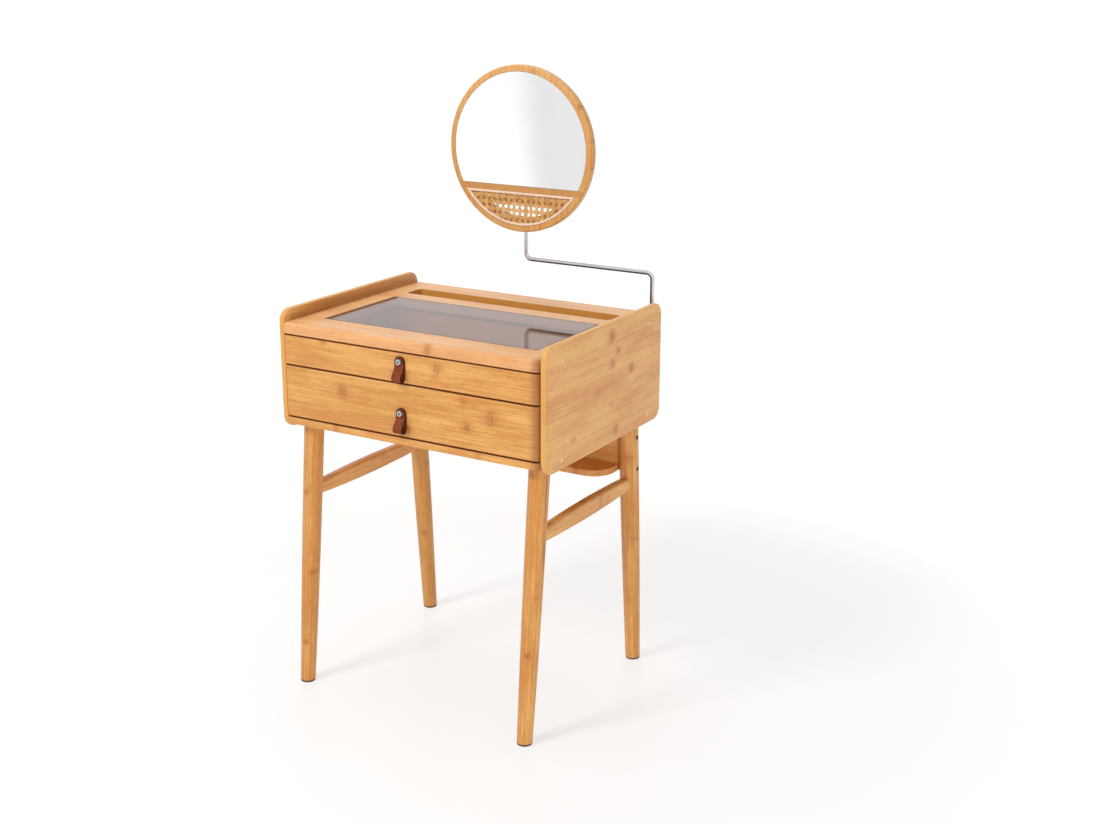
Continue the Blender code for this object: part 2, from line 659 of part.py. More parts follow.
def drawers():
    upper = drawer("upper", UPPER_SLIDE, UPPER_LOW, UPPER_HIGH, UPPER_BOX_REAR_Y)
    lower = drawer("lower", LOWER_SLIDE, LOWER_LOW, LOWER_HIGH, LOWER_BOX_REAR_Y)
    pull("upper", UPPER_SLIDE, upper, UPPER_HIGH - UPPER_PULL_DROP)
    pull("lower", LOWER_SLIDE, lower, LOWER_HIGH - LOWER_PULL_DROP)


def leg_radius(height):
    """Radius of a leg at a height: it swells a little on its way down to the foot."""
    drop = 1 - height / UNDERSIDE_HEIGHT
    return LEG_TOP_RADIUS - (LEG_TOP_RADIUS - LEG_FOOT_RADIUS) * max(drop, 0) ** LEG_SWELL


def leg_profile(extra=0.0):
    low, high = -OVERRUN, UNDERSIDE_HEIGHT + OVERRUN
    heights = [high + (low - high) * ring / LEG_RINGS for ring in range(LEG_RINGS + 1)]
    side = [(leg_radius(height) + extra, height) for height in heights]
    return [(0, high)] + side + [(0, low)]


def leg_places():
    """Word, side, y at the top and splay towards +Y of each leg."""
    return [("front_left", -1, FRONT_LEG_Y, -FRONT_SPLAY), ("front_right", 1, FRONT_LEG_Y, -FRONT_SPLAY),
            ("rear_left", -1, REAR_LEG_Y, REAR_SPLAY), ("rear_right", 1, REAR_LEG_Y, REAR_SPLAY)]


def leg_axis_y(top_y, splay, height):
    return top_y + splay * (1 - height / UNDERSIDE_HEIGHT)


def leg_turn(splay):
    return Matrix.Rotation(math.atan2(splay, UNDERSIDE_HEIGHT), 3, "X")


def legs():
    """Four turned legs, cut level at the case and at the floor, on felt pads."""
    level = box_cutter("leg_length", (-CASE_WIDTH, -CASE_DEPTH, PAD_THICK + SEAT),
                       (CASE_WIDTH, CASE_DEPTH, UNDERSIDE_HEIGHT - SEAT))
    for word, side, top_y, splay in leg_places():
        foot = (side * LEG_X, top_y + splay, 0)
        leg = turned(word + "_leg", leg_profile(), BAMBOO, CASE, foot, leg_turn(splay), LEG_SIDES)
        shape_with(leg, level, "INTERSECT")
        if word.startswith("rear"):
            for bolt_word, height in bolt_heights():
                for cutter in bolt_bores(bolt_word, side, height):
                    shape_with(leg, cutter)
        pad = LEG_FOOT_RADIUS - PAD_INSET
        rod(word + "_foot_pad", foot, (foot[0], foot[1], PAD_THICK), pad, FELT, CASE, LEG_SIDES)


def stretchers():
    """A bar on each side between front and rear legs, deeper in the middle, saddled to the legs."""
    front_y = leg_axis_y(FRONT_LEG_Y, -FRONT_SPLAY, STRETCHER_HEIGHT)
    rear_y = leg_axis_y(REAR_LEG_Y, REAR_SPLAY, STRETCHER_HEIGHT)
    length, middle = rear_y - front_y, (rear_y + front_y) / 2
    saddles = {}
    for word, side, top_y, splay in leg_places():
        saddle = turned(word + "_saddle", leg_profile(SEAT), BAMBOO, CASE, (side * LEG_X, top_y + splay, 0),
                        leg_turn(splay), LEG_SIDES)
        saddles.setdefault(side, []).append(as_cutter(saddle))
    for side, word in ((-1, "left"), (1, "right")):
        bm = bmesh.new()
        bmesh.ops.create_cube(bm, size=1.0, matrix=Matrix.Diagonal((STRETCHER_WIDTH, length, 1.0, 1.0)))
        along = [e for e in bm.edges if abs(e.verts[0].co.y - e.verts[1].co.y) > length / 2]
        bmesh.ops.subdivide_edges(bm, edges=along, cuts=2 * ARC_STEPS - 1, use_grid_fill=True)
        for vert in bm.verts:
            share = 2 * vert.co.y / length
            vert.co.z *= STRETCHER_MID + (STRETCHER_END - STRETCHER_MID) * share * share
        bar = add_object(word + "_stretcher", mesh_from(bm, word), BAMBOO, CASE,
                         (side * LEG_X, middle, STRETCHER_HEIGHT))
        round_edges(bar, STRETCHER_EDGE, FINE_STEPS)
        for saddle in saddles[side]:
            shape_with(bar, saddle)


def bolt_heights():
    return [("high", UNDERSIDE_HEIGHT - BOLT_HIGH_DROP), ("low", UNDERSIDE_HEIGHT - BOLT_LOW_DROP)]


def bolt_frame(side, height):
    """Head face and tip of a shelf bolt, and the depth its head sinks to."""
    y = leg_axis_y(REAR_LEG_Y, REAR_SPLAY, height)
    face = LEG_X + leg_radius(height) - BOLT_SINK
    tip = LEG_X - leg_radius(height) - BOLT_BITE
    return Vector((side * face, y, height)), Vector((side * tip, y, height))


BOLT_CUTTERS = {}


def bolt_bores(word, side, height):
    """Shank bore and head counterbore of one shelf bolt, shared by the leg and the shelf's back."""
    if (word, side) not in BOLT_CUTTERS:
        face, tip = bolt_frame(side, height)
        out = Vector((side, 0, 0))
        shank = rod_cutter("bolt_bore_%s_%d" % (word, side), face + out * OVERRUN, tip - out * SEAT,
                           BOLT_SHANK_RADIUS + BOLT_CLEARANCE)
        head = rod_cutter("bolt_head_bore_%s_%d" % (word, side), face + out * OVERRUN,
                          face - out * (BOLT_HEAD_HEIGHT + SEAT), BOLT_HEAD_RADIUS + BOLT_CLEARANCE)
        BOLT_CUTTERS[(word, side)] = (shank, head)
    return BOLT_CUTTERS[(word, side)]


def shelf_bolts():
    """Socket-head bolts through the rear legs into the ends of the shelf's back."""
    for word, height in bolt_heights():
        for side, side_word in ((-1, "left"), (1, "right")):
            face, tip = bolt_frame(side, height)
            length = (face - tip).length
            profile = [(0, -BOLT_SOCKET_DEPTH), (BOLT_SOCKET_RADIUS, -BOLT_SOCKET_DEPTH),
                       (BOLT_SOCKET_RADIUS, 0), (BOLT_HEAD_RADIUS, 0), (BOLT_HEAD_RADIUS, -BOLT_HEAD_HEIGHT),
                       (BOLT_SHANK_RADIUS, -BOLT_HEAD_HEIGHT), (BOLT_SHANK_RADIUS, -length), (0, -length)]
            turn = (face - tip).to_track_quat("Z", "Y").to_matrix()
            turned("shelf_bolt_%s_%s" % (word, side_word), profile, DARK_STEEL, CASE, face, turn, SMALL_SIDES)


def rear_shelf():
    """A narrow shelf on a back board that leans with the rear legs."""
    low, high = UNDERSIDE_HEIGHT - SHELF_DROP, UNDERSIDE_HEIGHT - SEAT
    slope = REAR_SPLAY / UNDERSIDE_HEIGHT
    middle = (low + high) / 2
    back_y = leg_axis_y(REAR_LEG_Y, REAR_SPLAY, middle)
    half = LEG_X - leg_radius(high) - SEAT
    back = board("rear_shelf_back", (-half, back_y - SHELF_BACK_THICK / 2, low),
                 (half, back_y + SHELF_BACK_THICK / 2, high), BAMBOO, CASE)
    back.data.transform(Matrix.Shear("XY", 4, (0, -slope)))
    for word, height in bolt_heights():
        for side in (-1, 1):
            shape_with(back, bolt_bores(word, side, height)[0])
    rear = leg_axis_y(REAR_LEG_Y, REAR_SPLAY, low + SHELF_THICK) - SHELF_BACK_THICK / 2 - SEAT
    board("rear_shelf_board", (-half, rear - SHELF_DEPTH, low), (half, rear, low + SHELF_THICK),
          BAMBOO, CASE, edge=SHELF_EDGE, corner=SHELF_CORNER, front_only=True)


def filleted(corners, radius, steps):
    """A path through corners, each turned on a radius."""
    path = [corners[0]]
    for before, corner, after in zip(corners, corners[1:], corners[2:]):
        back, ahead = (before - corner).normalized(), (after - corner).normalized()
        half_turn = back.angle(ahead) / 2
        reach = radius / math.tan(half_turn)
        centre = corner + (back + ahead).normalized() * radius / math.sin(half_turn)
        first, last = corner + back * reach - centre, corner + ahead * reach - centre
        path += [centre + first.slerp(last, step / steps).normalized() * radius for step in range(steps + 1)]
    return path + [corners[-1]]


def tube(name, path, radius, material, parent, place, cyclic=False):
    """A round bar along a path given from its place."""
    curve = bpy.data.curves.new(name, "CURVE")
    curve.dimensions = "3D"
    curve.bevel_depth = radius
    curve.bevel_resolution = 2
    curve.use_fill_caps = not cyclic
    spline = curve.splines.new("POLY")
    spline.points.add(len(path) - 1)
    for point, spot in zip(spline.points, path):
        point.co = (*spot, 1)
    spline.use_cyclic_u = cyclic
    return add_object(name, curve, material, parent, place)


def mirror_rod():
    """The bent rod: up out of its socket, level to the left, and up behind the mirror."""
    foot = SOCKET_TOP - SOCKET_TALL + SOCKET_FLOOR + SEAT
    level = TOP_SURFACE + ROD_RISE
    axis = Vector((ROD_X, ROD_Y, SOCKET_TOP))
    corners = [Vector((ROD_X, ROD_Y, foot)), Vector((ROD_X, ROD_Y, level)),
               Vector((MIRROR_X, ROD_Y, level)), Vector((MIRROR_X, ROD_Y, UPRIGHT_TOP))]
    path = [spot - axis for spot in filleted(corners, ROD_BEND, ARC_STEPS)]
    tube("mirror_rod", path, ROD_RADIUS, STEEL, ARM_AXIS, axis)


def rod_socket():
    """The bored block on the case's back that the rod turns in."""
    low = SOCKET_TOP - SOCKET_TALL
    block = board("rod_socket", (ROD_X - SOCKET_WIDTH / 2, REAR_Y + SEAT, low),
                  (ROD_X + SOCKET_WIDTH / 2, REAR_Y + SEAT + SOCKET_DEPTH, SOCKET_TOP), BAMBOO, CASE,
                  edge=SOCKET_EDGE, corner=SOCKET_CORNER)
    bore = rod_cutter("socket_bore", (ROD_X, ROD_Y, low + SOCKET_FLOOR), (ROD_X, ROD_Y, SOCKET_TOP + OVERRUN),
                      ROD_RADIUS + ROD_BORE_CLEARANCE, LEG_SIDES)
    shape_with(block, bore)


def mirror_hub():
    """The cleat on the mirror's back: a channel over the rod's end, closed at the top."""
    low, high = HUB_Z - HUB_TALL / 2, HUB_Z + HUB_TALL / 2
    face = MIRROR_BACK_Y + SEAT
    hub = board("mirror_hub", (MIRROR_X - HUB_WIDTH / 2, face, low),
                (MIRROR_X + HUB_WIDTH / 2, face + HUB_DEPTH, high),
                BAMBOO, MIRROR_AXIS, edge=SOCKET_EDGE, corner=HUB_CORNER, corner_axis="Y")
    bore = ROD_RADIUS + ROD_BORE_CLEARANCE
    ceiling = high - HUB_CEILING
    shape_with(hub, rod_cutter("hub_bore", (MIRROR_X, ROD_Y, low - OVERRUN), (MIRROR_X, ROD_Y, ceiling),
                               bore, LEG_SIDES))
    shape_with(hub, box_cutter("hub_channel", (MIRROR_X - bore, face - OVERRUN, low - OVERRUN),
                               (MIRROR_X + bore, ROD_Y, ceiling)))


def mirror_plate(name, outlines, front, thick, material):
    """A plate parallel to the mirror's face, its front this far behind the frame's front."""
    place = (MIRROR_X, MIRROR_FRONT_Y + front + thick / 2, MIRROR_Z)
    return flat_piece(name, outlines, thick, material, MIRROR_AXIS, place, FACING_FRONT)


def mirror_frame():
    """A turned disc with a glazed pocket above, a caned pocket below and a recess behind."""
    half = MIRROR_THICK / 2
    edge_angles = range(90, -1, -30)
    rim = [(MIRROR_RADIUS - MIRROR_EDGE + MIRROR_EDGE * math.cos(math.radians(angle)),
            half - MIRROR_EDGE + MIRROR_EDGE * math.sin(math.radians(angle))) for angle in edge_angles]
    profile = [(0, half)] + rim + [(radius, -height) for radius, height in reversed(rim)] + [(0, -half)]
    frame = turned("mirror_frame", profile, BAMBOO, MIRROR_AXIS,
                   (MIRROR_X, MIRROR_FRONT_Y + half, MIRROR_Z), FACING_FRONT, DISC_SIDES)
    opening = (GLAZING_RADIUS - MIRROR_RIB, GLAZING_CHORD + MIRROR_RIB)
    cuts = [("glass_pocket", segment(GLAZING_RADIUS, GLAZING_CHORD, GLAZING_FILLET), -OVERRUN, GLAZING_REBATE),
            ("glass_opening", segment(*opening, GLAZING_FILLET), -OVERRUN, MIRROR_THICK + OVERRUN),
            ("backing_pocket", segment(GLAZING_RADIUS, BACKING_CHORD, GLAZING_FILLET),
             MIRROR_THICK - BACKING_REBATE, MIRROR_THICK + OVERRUN),
            ("cane_pocket", segment(CANE_RADIUS, CANE_CHORD, CANE_FILLET, below=True), -OVERRUN, CANE_REBATE),
            ("cane_window", segment(WINDOW_RADIUS, WINDOW_CHORD, WINDOW_FILLET, below=True), -OVERRUN,
             MIRROR_THICK + OVERRUN)]
    for name, outline, near, far in cuts:
        shape_with(frame, as_cutter(mirror_plate(name, [outline], near, far - near, BAMBOO)))


def mirror_glazing():
    gap = GLAZING_CLEARANCE
    outline = segment(GLAZING_RADIUS - gap, GLAZING_CHORD + gap, GLAZING_FILLET)
    mirror_plate("mirror_glass", [outline], GLAZING_REBATE - SEAT - GLAZING_THICK, GLAZING_THICK, SILVERED)
    outline = segment(GLAZING_RADIUS - gap, BACKING_CHORD + gap, GLAZING_FILLET)
    mirror_plate("mirror_backing", [outline], MIRROR_THICK - BACKING_REBATE + SEAT, BACKING_THICK, PLYWOOD)


def cane_holes():
    """Octagonal eyes on a square grid, kept where they lie whole inside the border."""
    reach = CANE_RADIUS - 2 * (PIPING_RADIUS + PIPING_CLEARANCE) - CANE_BORDER
    ceiling = CANE_CHORD - 2 * (PIPING_RADIUS + PIPING_CLEARANCE) - CANE_BORDER
    columns = int(reach / CANE_PITCH) + 1
    holes = []
    for row in range(CANE_ROWS):
        up = CANE_ROW_START - row * CANE_PITCH
        for column in range(-columns, columns + 1):
            across = CANE_COLUMN_SHIFT + column * CANE_PITCH
            eye = arc((across, up), CANE_HOLE, 22.5, 337.5, 7)
            if all(math.hypot(x, z) < reach and z < ceiling for x, z in eye):
                holes.append(eye)
    return holes


def cane():
    """The caned panel and the reed piping that holds it in its pocket."""
    inset = 2 * (PIPING_RADIUS + PIPING_CLEARANCE)
    outline = segment(CANE_RADIUS - inset, CANE_CHORD - inset, CANE_FILLET - inset, below=True)
    mirror_plate("cane_panel", [outline] + cane_holes(), CANE_REBATE - SEAT - CANE_THICK, CANE_THICK, CANE)
    inset = PIPING_RADIUS + PIPING_CLEARANCE
    outline = segment(CANE_RADIUS - inset, CANE_CHORD - inset, CANE_FILLET - inset, below=True)
    depth = CANE_REBATE - SEAT - PIPING_RADIUS
    path = [(across, 0, up) for across, up in outline]
    tube("cane_piping", path, PIPING_RADIUS, REED, MIRROR_AXIS, (MIRROR_X, MIRROR_FRONT_Y + depth, MIRROR_Z),
         cyclic=True)


side_panels()
dowels()
top_board()
glass_top()
bottom_board()
back_panel()
trough()
runners()
drawers()
legs()
stretchers()
rear_shelf()
shelf_bolts()
mirror_rod()
rod_socket()
mirror_hub()
mirror_frame()
mirror_glazing()
cane()
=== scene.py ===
"""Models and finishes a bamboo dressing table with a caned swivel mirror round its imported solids.

Lengths are metres. X = Y = 0 is the middle of the case, Z = 0 the floor, and the front faces -Y.
"""

import math
from itertools import product

import bpy
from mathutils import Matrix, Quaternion, Vector


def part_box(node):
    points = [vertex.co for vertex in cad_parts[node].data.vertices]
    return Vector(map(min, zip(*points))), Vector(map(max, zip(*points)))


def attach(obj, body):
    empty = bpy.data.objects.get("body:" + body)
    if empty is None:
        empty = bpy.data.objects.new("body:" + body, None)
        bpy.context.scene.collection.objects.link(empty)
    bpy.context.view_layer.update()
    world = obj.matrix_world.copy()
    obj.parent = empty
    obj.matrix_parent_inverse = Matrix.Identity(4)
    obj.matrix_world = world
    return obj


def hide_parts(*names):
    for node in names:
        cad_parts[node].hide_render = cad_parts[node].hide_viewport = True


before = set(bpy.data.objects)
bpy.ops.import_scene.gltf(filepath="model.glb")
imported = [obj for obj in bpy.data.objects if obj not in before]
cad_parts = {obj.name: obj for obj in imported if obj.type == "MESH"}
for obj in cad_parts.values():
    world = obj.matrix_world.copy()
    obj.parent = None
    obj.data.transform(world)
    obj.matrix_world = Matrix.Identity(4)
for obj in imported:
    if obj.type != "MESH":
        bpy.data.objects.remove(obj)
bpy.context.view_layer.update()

bl_info = {
    "name": "Dressing Table",
    "version": (1, 0, 0),
    "blender": (4, 5, 0),
    "location": "3D View > Sidebar > Dressing Table",
    "description": "Models and finishes a bamboo dressing table with a caned swivel mirror",
    "category": "Object",
}

SIDES = {"left": -1, "right": 1}
LEVELS = ("upper", "lower")

# Bamboo: glue lines, nodes, and the painted shade at the boards' right ends and in the gaps at their joints
SEAM_WIDTH = 0.0009
SEAM_CORE = 0.0001
NODE_PERIOD = 0.31
NODE_RAGGED = 0.012
NODE_HALO = (0.019, 0.002)
NODE_CORE = (0.0055, 0.0005)
MARK_HALO = 0.0235
MARK_CORE = 0.0110
MARK_ACROSS = 0.0150
MARK_DEPTH = 0.0300
MARK_WANDER = 0.011
# How far the painted shade reaches in from a board's right end and back from its front, and its softness
END_DARK = 0.0270
END_REACH = 0.1200
END_SOFT = 0.0240
# How far below a board's top the painted shade in the gap starts, how far back from its front it reaches, and
# its softness
GAP_SHADE_DROP = 0.0013
GAP_SHADE_REACH = 0.0040
GAP_SHADE_SOFT = 0.0007

# Case
PANEL_CORNER = 0.0250
PANEL_EDGE = 0.0030
PANEL_WEAR = 0.0020
# Where the painted shade along the foot of each lip's inner face starts, ends and rises to, and its softness
LIP_FRONT = 0.0150
LIP_REAR = 0.0060
LIP_RISE = 0.0190
LIP_SOFT = 0.0110
FRONT_CORNER = 0.0140
FRONT_PLAY = 0.0006
FORWARD = 0.0040
TOP_NOSE = 0.0080
BOARD_EDGE = 0.0015
CUT_EDGE = 0.0007
DOWEL_RADIUS = 0.0040
DOWEL_HOLE = 0.0043
DOWEL_DEPTH = 0.0060
DOWEL_EDGE = 0.0003
GLASS_GAP = 0.0008
GLASS_LEDGE = 0.0070
GLASS_CORNER = 0.0040
GLASS_EDGE = 0.0006
GLASS_SEAT = 0.0003
# From where the painted shade along the glass's edges starts to where it is full
GLASS_RIM = (0.0016, 0.0008)
SLOT_HALF = 0.2406
SLOT_CORNER = 0.0080
SLOT_SKIN = 0.0003
SLOT_SOFT = 0.0002

# Leather pulls and their screws
STRAP_THICK = 0.0022
STRAP_LOOP = 0.0070
STRAP_NECK = 0.0190
STRAP_EDGE = 0.0004
STRAP_RUBBED = (0.0021, 0.0006)
LAYER_GAP = 0.0001
SCREW_GAP = 0.0003
SCREW_DROP = 0.0100
SCREW_RADIUS = 0.0068
SCREW_HEIGHT = 0.0042
SCREW_DOME = 0.0037
DRIVE_RADIUS = 0.0022
DRIVE_DEPTH = 0.0020
DRIVE_EDGE = 0.0002

# Legs, their lines as (y at the top, splay), rails and rear shelf
UNDERSIDE = 0.5416
LEG_TOP_RADIUS = 0.0200
LEG_FOOT_RADIUS = 0.0150
LEG_SWELL = 1.9
LEG_RINGS = 18
LEG_SIDES = 56
LEG_X = 0.2600
LEG_STRIP = 0.0135
LEG_LINES = {"front": (-0.1771, -0.0556), "rear": (0.1646, 0.0379)}
FOOT_CHAMFER = 0.0015
FOOT_INSET = 0.0010
PAD_EDGE = 0.0010
RAIL_HEIGHT = 0.4000
RAIL_WIDTH = 0.0210
RAIL_MIDDLE = 0.0350
RAIL_END = 0.0240
RAIL_EDGE = 0.0060
RAIL_STRIP = 0.0125
SHELF_CORNER = 0.0460
SHELF_EDGE = 0.0020
SHELF_BACK_EDGE = 0.0008
BOLT_RADIUS = 0.0046
BOLT_HOLE = 0.0051
BOLT_SINK = 0.0015
BOLT_HEAD = 0.0045
BOLT_DRIVE = 0.0024
BOLT_DRIVE_DEPTH = 0.0022
BOLT_EDGE = 0.0003
BOLT_HEIGHTS = {"high": 0.4990, "low": 0.4316}

# Rod, its block and cleat, and the mirror, whose chords are heights over its middle
ROD_RADIUS = 0.0045
ROD_BEND = 0.0125
ROD_X = 0.2733
ROD_Y = 0.2320
ROD_LEVEL = 0.8203
ROD_HOLE = 0.0049
ROD_EDGE = 0.0005
# How far and how softly the rod's painted dark reflection reaches
ROD_SHADE = 0.0012
ROD_SHADE_SOFT = 0.0002
BLOCK_CORNER = 0.0050
BLOCK_EDGE = 0.0010
BLOCK_FLOOR = 0.0200
CLEAT_CORNER = 0.0080
CLEAT_CEILING = 0.0120
MIRROR_X = -0.0195
MIRROR_Z = 1.0465
MIRROR_RADIUS = 0.1672
MIRROR_EDGE = 0.0040
MIRROR_STRIP = 0.0130
POCKET_EDGE = 0.0003
# How far the painted shade on the cane pocket's floor reaches before and behind it, and its softness
POCKET_SHADE = (0.0004, 0.0006)
POCKET_SOFT = 0.0002
PANE_RADIUS = 0.1545
PANE_CHORD = -0.0735
PANE_FILLET = 0.0012
PANE_REBATE = 0.0042
PANE_GAP = 0.0004
PANE_EDGE = 0.0004
MIRROR_RIB = 0.0120
BACKING_CHORD = -0.0800
BACKING_REBATE = 0.0035
BAND_HALF = 0.1500
BAND_PAST = 0.0020
BAND_SOFT = 0.0040
# Where the painted light on the frame's upper part begins, and its softness
CROWN_RISE = 0.0600
CROWN_SOFT = 0.0900

# Cane, the pocket and window that it covers, and its bead
CANE_RADIUS = 0.1547
CANE_CHORD = -0.0857
CANE_REBATE = 0.0030
CANE_MIDDLE = 0.0019
WINDOW_RADIUS = 0.1381
WINDOW_CHORD = -0.1090
WINDOW_FILLET = 0.0040
CANE_COLUMN = 0.0064
CANE_ROW = -0.1038
CANE_ASIDE = 0.00035
CANE_THICK = 0.00036
CANE_LIFT = 0.00020
CANE_DIVE = 0.00045
CANE_TURN = 0.0040
CANE_BENDS = (0.0034, 0.0055)
CANE_CLEAR = 0.0040
CANE_RAIL_CLEAR = 0.0010
CANE_SHORTEST = 0.0080
CANE_PAIRS = range(-14, 15)
BEAD_GAP = 0.0003
BEAD_WIDTH = 0.0054
BEAD_PROUD = -0.0017
BEAD_BACK = 0.0027

# Studio: lamps as (place, size), and the camera of the photograph
FLOOR_SIZE = 80
LAMPS = {
    "key": ((-1.6, -3.6, 3.9), (1.2, 1.2)),
    "top": ((-0.8, 0.4, 4.0), (2.6, 2.6)),
    "fill": ((3.0, -2.0, 0.42), (2.4, 0.6)),
}
LAMP_AIM = (0, 0, 0.7)
CAMERA_PLACE = (1.64770, -2.47920, 1.44272)
CAMERA_WAY = (-0.488956, 0.823740, -0.287010)
CAMERA_ROLL = 0.1082
CAMERA_LENS = 51.116

# How far a cutter reaches past a piece, when two places are the same, and a place outside the table
PAST = 0.0100
NEAR = 0.00001
BEYOND = 2.0


class DressingTableTimber(bpy.types.PropertyGroup):
    """Colours and strips of the laminated bamboo."""

    light: bpy.props.FloatVectorProperty(
        name="Pale strips", description="Colour of the palest bamboo strips", subtype="COLOR",
        default=(0.76, 0.405, 0.110), min=0, max=1)
    dark: bpy.props.FloatVectorProperty(
        name="Dark strips", description="Colour of the darkest bamboo strips", subtype="COLOR",
        default=(0.55, 0.225, 0.034), min=0, max=1)
    knot: bpy.props.FloatVectorProperty(
        name="Nodes", description="Colour of the nodes across a strip", subtype="COLOR",
        default=(0.30, 0.085, 0.018), min=0, max=1)
    bleached: bpy.props.FloatVectorProperty(
        name="Bleached", description="Colour that the top and side panels fade towards", subtype="COLOR",
        default=(0.825, 0.460, 0.215), min=0, max=1)
    golden: bpy.props.FloatVectorProperty(
        name="Golden", description="Colour that the mirror's frame fades towards", subtype="COLOR",
        default=(0.62, 0.335, 0.105), min=0, max=1)
    strip: bpy.props.FloatProperty(
        name="Strip width", description="Width of one glued strip", default=0.0200, unit="LENGTH")
    lacquer: bpy.props.FloatProperty(
        name="Lacquer", description="Weight of the clear coat", subtype="FACTOR",
        default=0.25, min=0, max=1)


class DressingTableFittings(bpy.types.PropertyGroup):
    """Leather, glass and metal."""

    leather: bpy.props.FloatVectorProperty(
        name="Leather", description="Colour of the pulls' leather", subtype="COLOR",
        default=(0.250, 0.050, 0.016), min=0, max=1)
    leather_edge: bpy.props.FloatVectorProperty(
        name="Burnished edge", description="Colour of the pulls' rubbed edges", subtype="COLOR",
        default=(0.040, 0.008, 0.003), min=0, max=1)
    strap_width: bpy.props.FloatProperty(
        name="Strap width", description="Width of a leather pull", default=0.0206, unit="LENGTH")
    glass: bpy.props.FloatVectorProperty(
        name="Smoked glass", description="Tint of the glass in the top", subtype="COLOR",
        default=(0.42, 0.330, 0.295), min=0, max=1)
    steel: bpy.props.FloatVectorProperty(
        name="Steel", description="Colour of the rod and screws", subtype="COLOR",
        default=(0.66, 0.66, 0.668), min=0, max=1)


class DressingTableCaning(bpy.types.PropertyGroup):
    """The woven panel under the mirror."""

    pitch: bpy.props.FloatProperty(
        name="Pitch", description="Distance between neighbouring eyes", default=0.0133, unit="LENGTH")
    strand: bpy.props.FloatProperty(
        name="Strand width", description="Width of the paired strands", default=0.0026, unit="LENGTH")
    light: bpy.props.FloatVectorProperty(
        name="Pale strands", description="Colour of the palest strands", subtype="COLOR",
        default=(0.82, 0.50, 0.19), min=0, max=1)
    dark: bpy.props.FloatVectorProperty(
        name="Dark strands", description="Colour of the darkest strands", subtype="COLOR",
        default=(0.50, 0.22, 0.055), min=0, max=1)
    bead: bpy.props.FloatVectorProperty(
        name="Bead", description="Colour of the reed bead round the cane", subtype="COLOR",
        default=(0.90, 0.68, 0.52), min=0, max=1)


class DressingTableStudio(bpy.types.PropertyGroup):
    """Floor and light."""

    floor: bpy.props.FloatVectorProperty(
        name="Floor", description="Colour of the floor", subtype="COLOR",
        default=(0.90, 0.875, 0.865), min=0, max=1)
    wall: bpy.props.FloatVectorProperty(
        name="Wall", description="Colour of the far wall that polished surfaces reflect", subtype="COLOR",
        default=(0.80, 0.795, 0.790), min=0, max=1)
    ambient: bpy.props.FloatProperty(
        name="Ambient light", description="Strength of the light from all round", default=0.50, min=0)
    key: bpy.props.FloatProperty(
        name="Key light", description="Power of the high lamp in front", unit="POWER", default=125.0, min=0)
    top: bpy.props.FloatProperty(
        name="Top light", description="Power of the large lamp overhead", unit="POWER", default=38.0, min=0)
    fill: bpy.props.FloatProperty(
        name="Fill light", description="Power of the low lamp at the side", unit="POWER", default=40.0, min=0)


class Shade:
    """A value in a node tree. Arithmetic on it adds Math nodes, and node() adds any other kind."""

    def __init__(self, tree, socket=None):
        self.tree, self.socket = tree, socket

    def node(self, kind, settings=None, sockets=None, out=0):
        """A node of a kind: its settings are made first, and then its sockets get values or links."""
        made = self.tree.nodes.new(kind)
        for name, value in (settings or {}).items():
            setattr(made, name, value)
        for name, value in (sockets or {}).items():
            if isinstance(value, Shade):
                self.tree.links.new(value.socket, made.inputs[name])
            else:
                made.inputs[name].default_value = value
        return Shade(self.tree, made.outputs[out] if made.outputs else None)

    def outs(self):
        """Every output of the node that this value comes from."""
        return [Shade(self.tree, socket) for socket in self.socket.node.outputs]

    def maths(self, operation, *values):
        return self.node("ShaderNodeMath", {"operation": operation}, dict(enumerate(values)))

    def __add__(self, other):
        return self.maths("ADD", self, other)

    def __sub__(self, other):
        return self.maths("SUBTRACT", self, other)

    def __mul__(self, other):
        return self.maths("MULTIPLY", self, other)

    def __truediv__(self, other):
        return self.maths("DIVIDE", self, other)

    def __mod__(self, other):
        return self.maths("FLOORED_MODULO", self, other)

    def __rsub__(self, other):
        return self.maths("SUBTRACT", other, self)

    def __abs__(self):
        return self.maths("ABSOLUTE", self)

    __radd__, __rmul__ = __add__, __mul__

    def floor(self):
        return self.maths("FLOOR", self)

    def most(self, other):
        return self.maths("MAXIMUM", self, other)

    def ease(self, start, end):
        """0 at start and 1 at end, smoothly and clamped. start may be the larger."""
        return self.node("ShaderNodeMapRange", {"interpolation_type": "SMOOTHSTEP"},
                         {"Value": self, "From Min": start, "From Max": end})

    def vectors(self, operation, other, socket=1):
        """Vector maths on this value and another vector, or a number where the socket takes one."""
        return self.node("ShaderNodeVectorMath", {"operation": operation}, {0: self, socket: other})

    def length(self):
        return self.node("ShaderNodeVectorMath", {"operation": "LENGTH"}, {0: self}, out="Value")


def mix(factor, first, second):
    """Colours mixed by a factor."""
    sockets = {0: factor, 6: as_colour(first), 7: as_colour(second)}
    tree_of = next(value for value in (factor, first, second) if isinstance(value, Shade))
    return tree_of.node("ShaderNodeMix", {"data_type": "RGBA"}, sockets, out=2)


def as_colour(value):
    return value if isinstance(value, Shade) else (*value, 1.0)


def times(factor, colour):
    return [factor * part for part in colour]


def towards(colour, aim, share):
    return [part + (goal - part) * share for part, goal in zip(colour, aim)]


def new_finish(name):
    """A new material, and its Object coordinates to build it from."""
    material = bpy.data.materials.new(name)
    material.use_nodes = True
    material.node_tree.nodes.clear()
    return material, Shade(material.node_tree).node("ShaderNodeTexCoord", out="Object")


def axes_of(place):
    return dict(zip("XYZ", place.node("ShaderNodeSeparateXYZ", {}, {0: place}).outs()))


def vector(x, y, z, like):
    return like.node("ShaderNodeCombineXYZ", {}, {0: x, 1: y, 2: z})


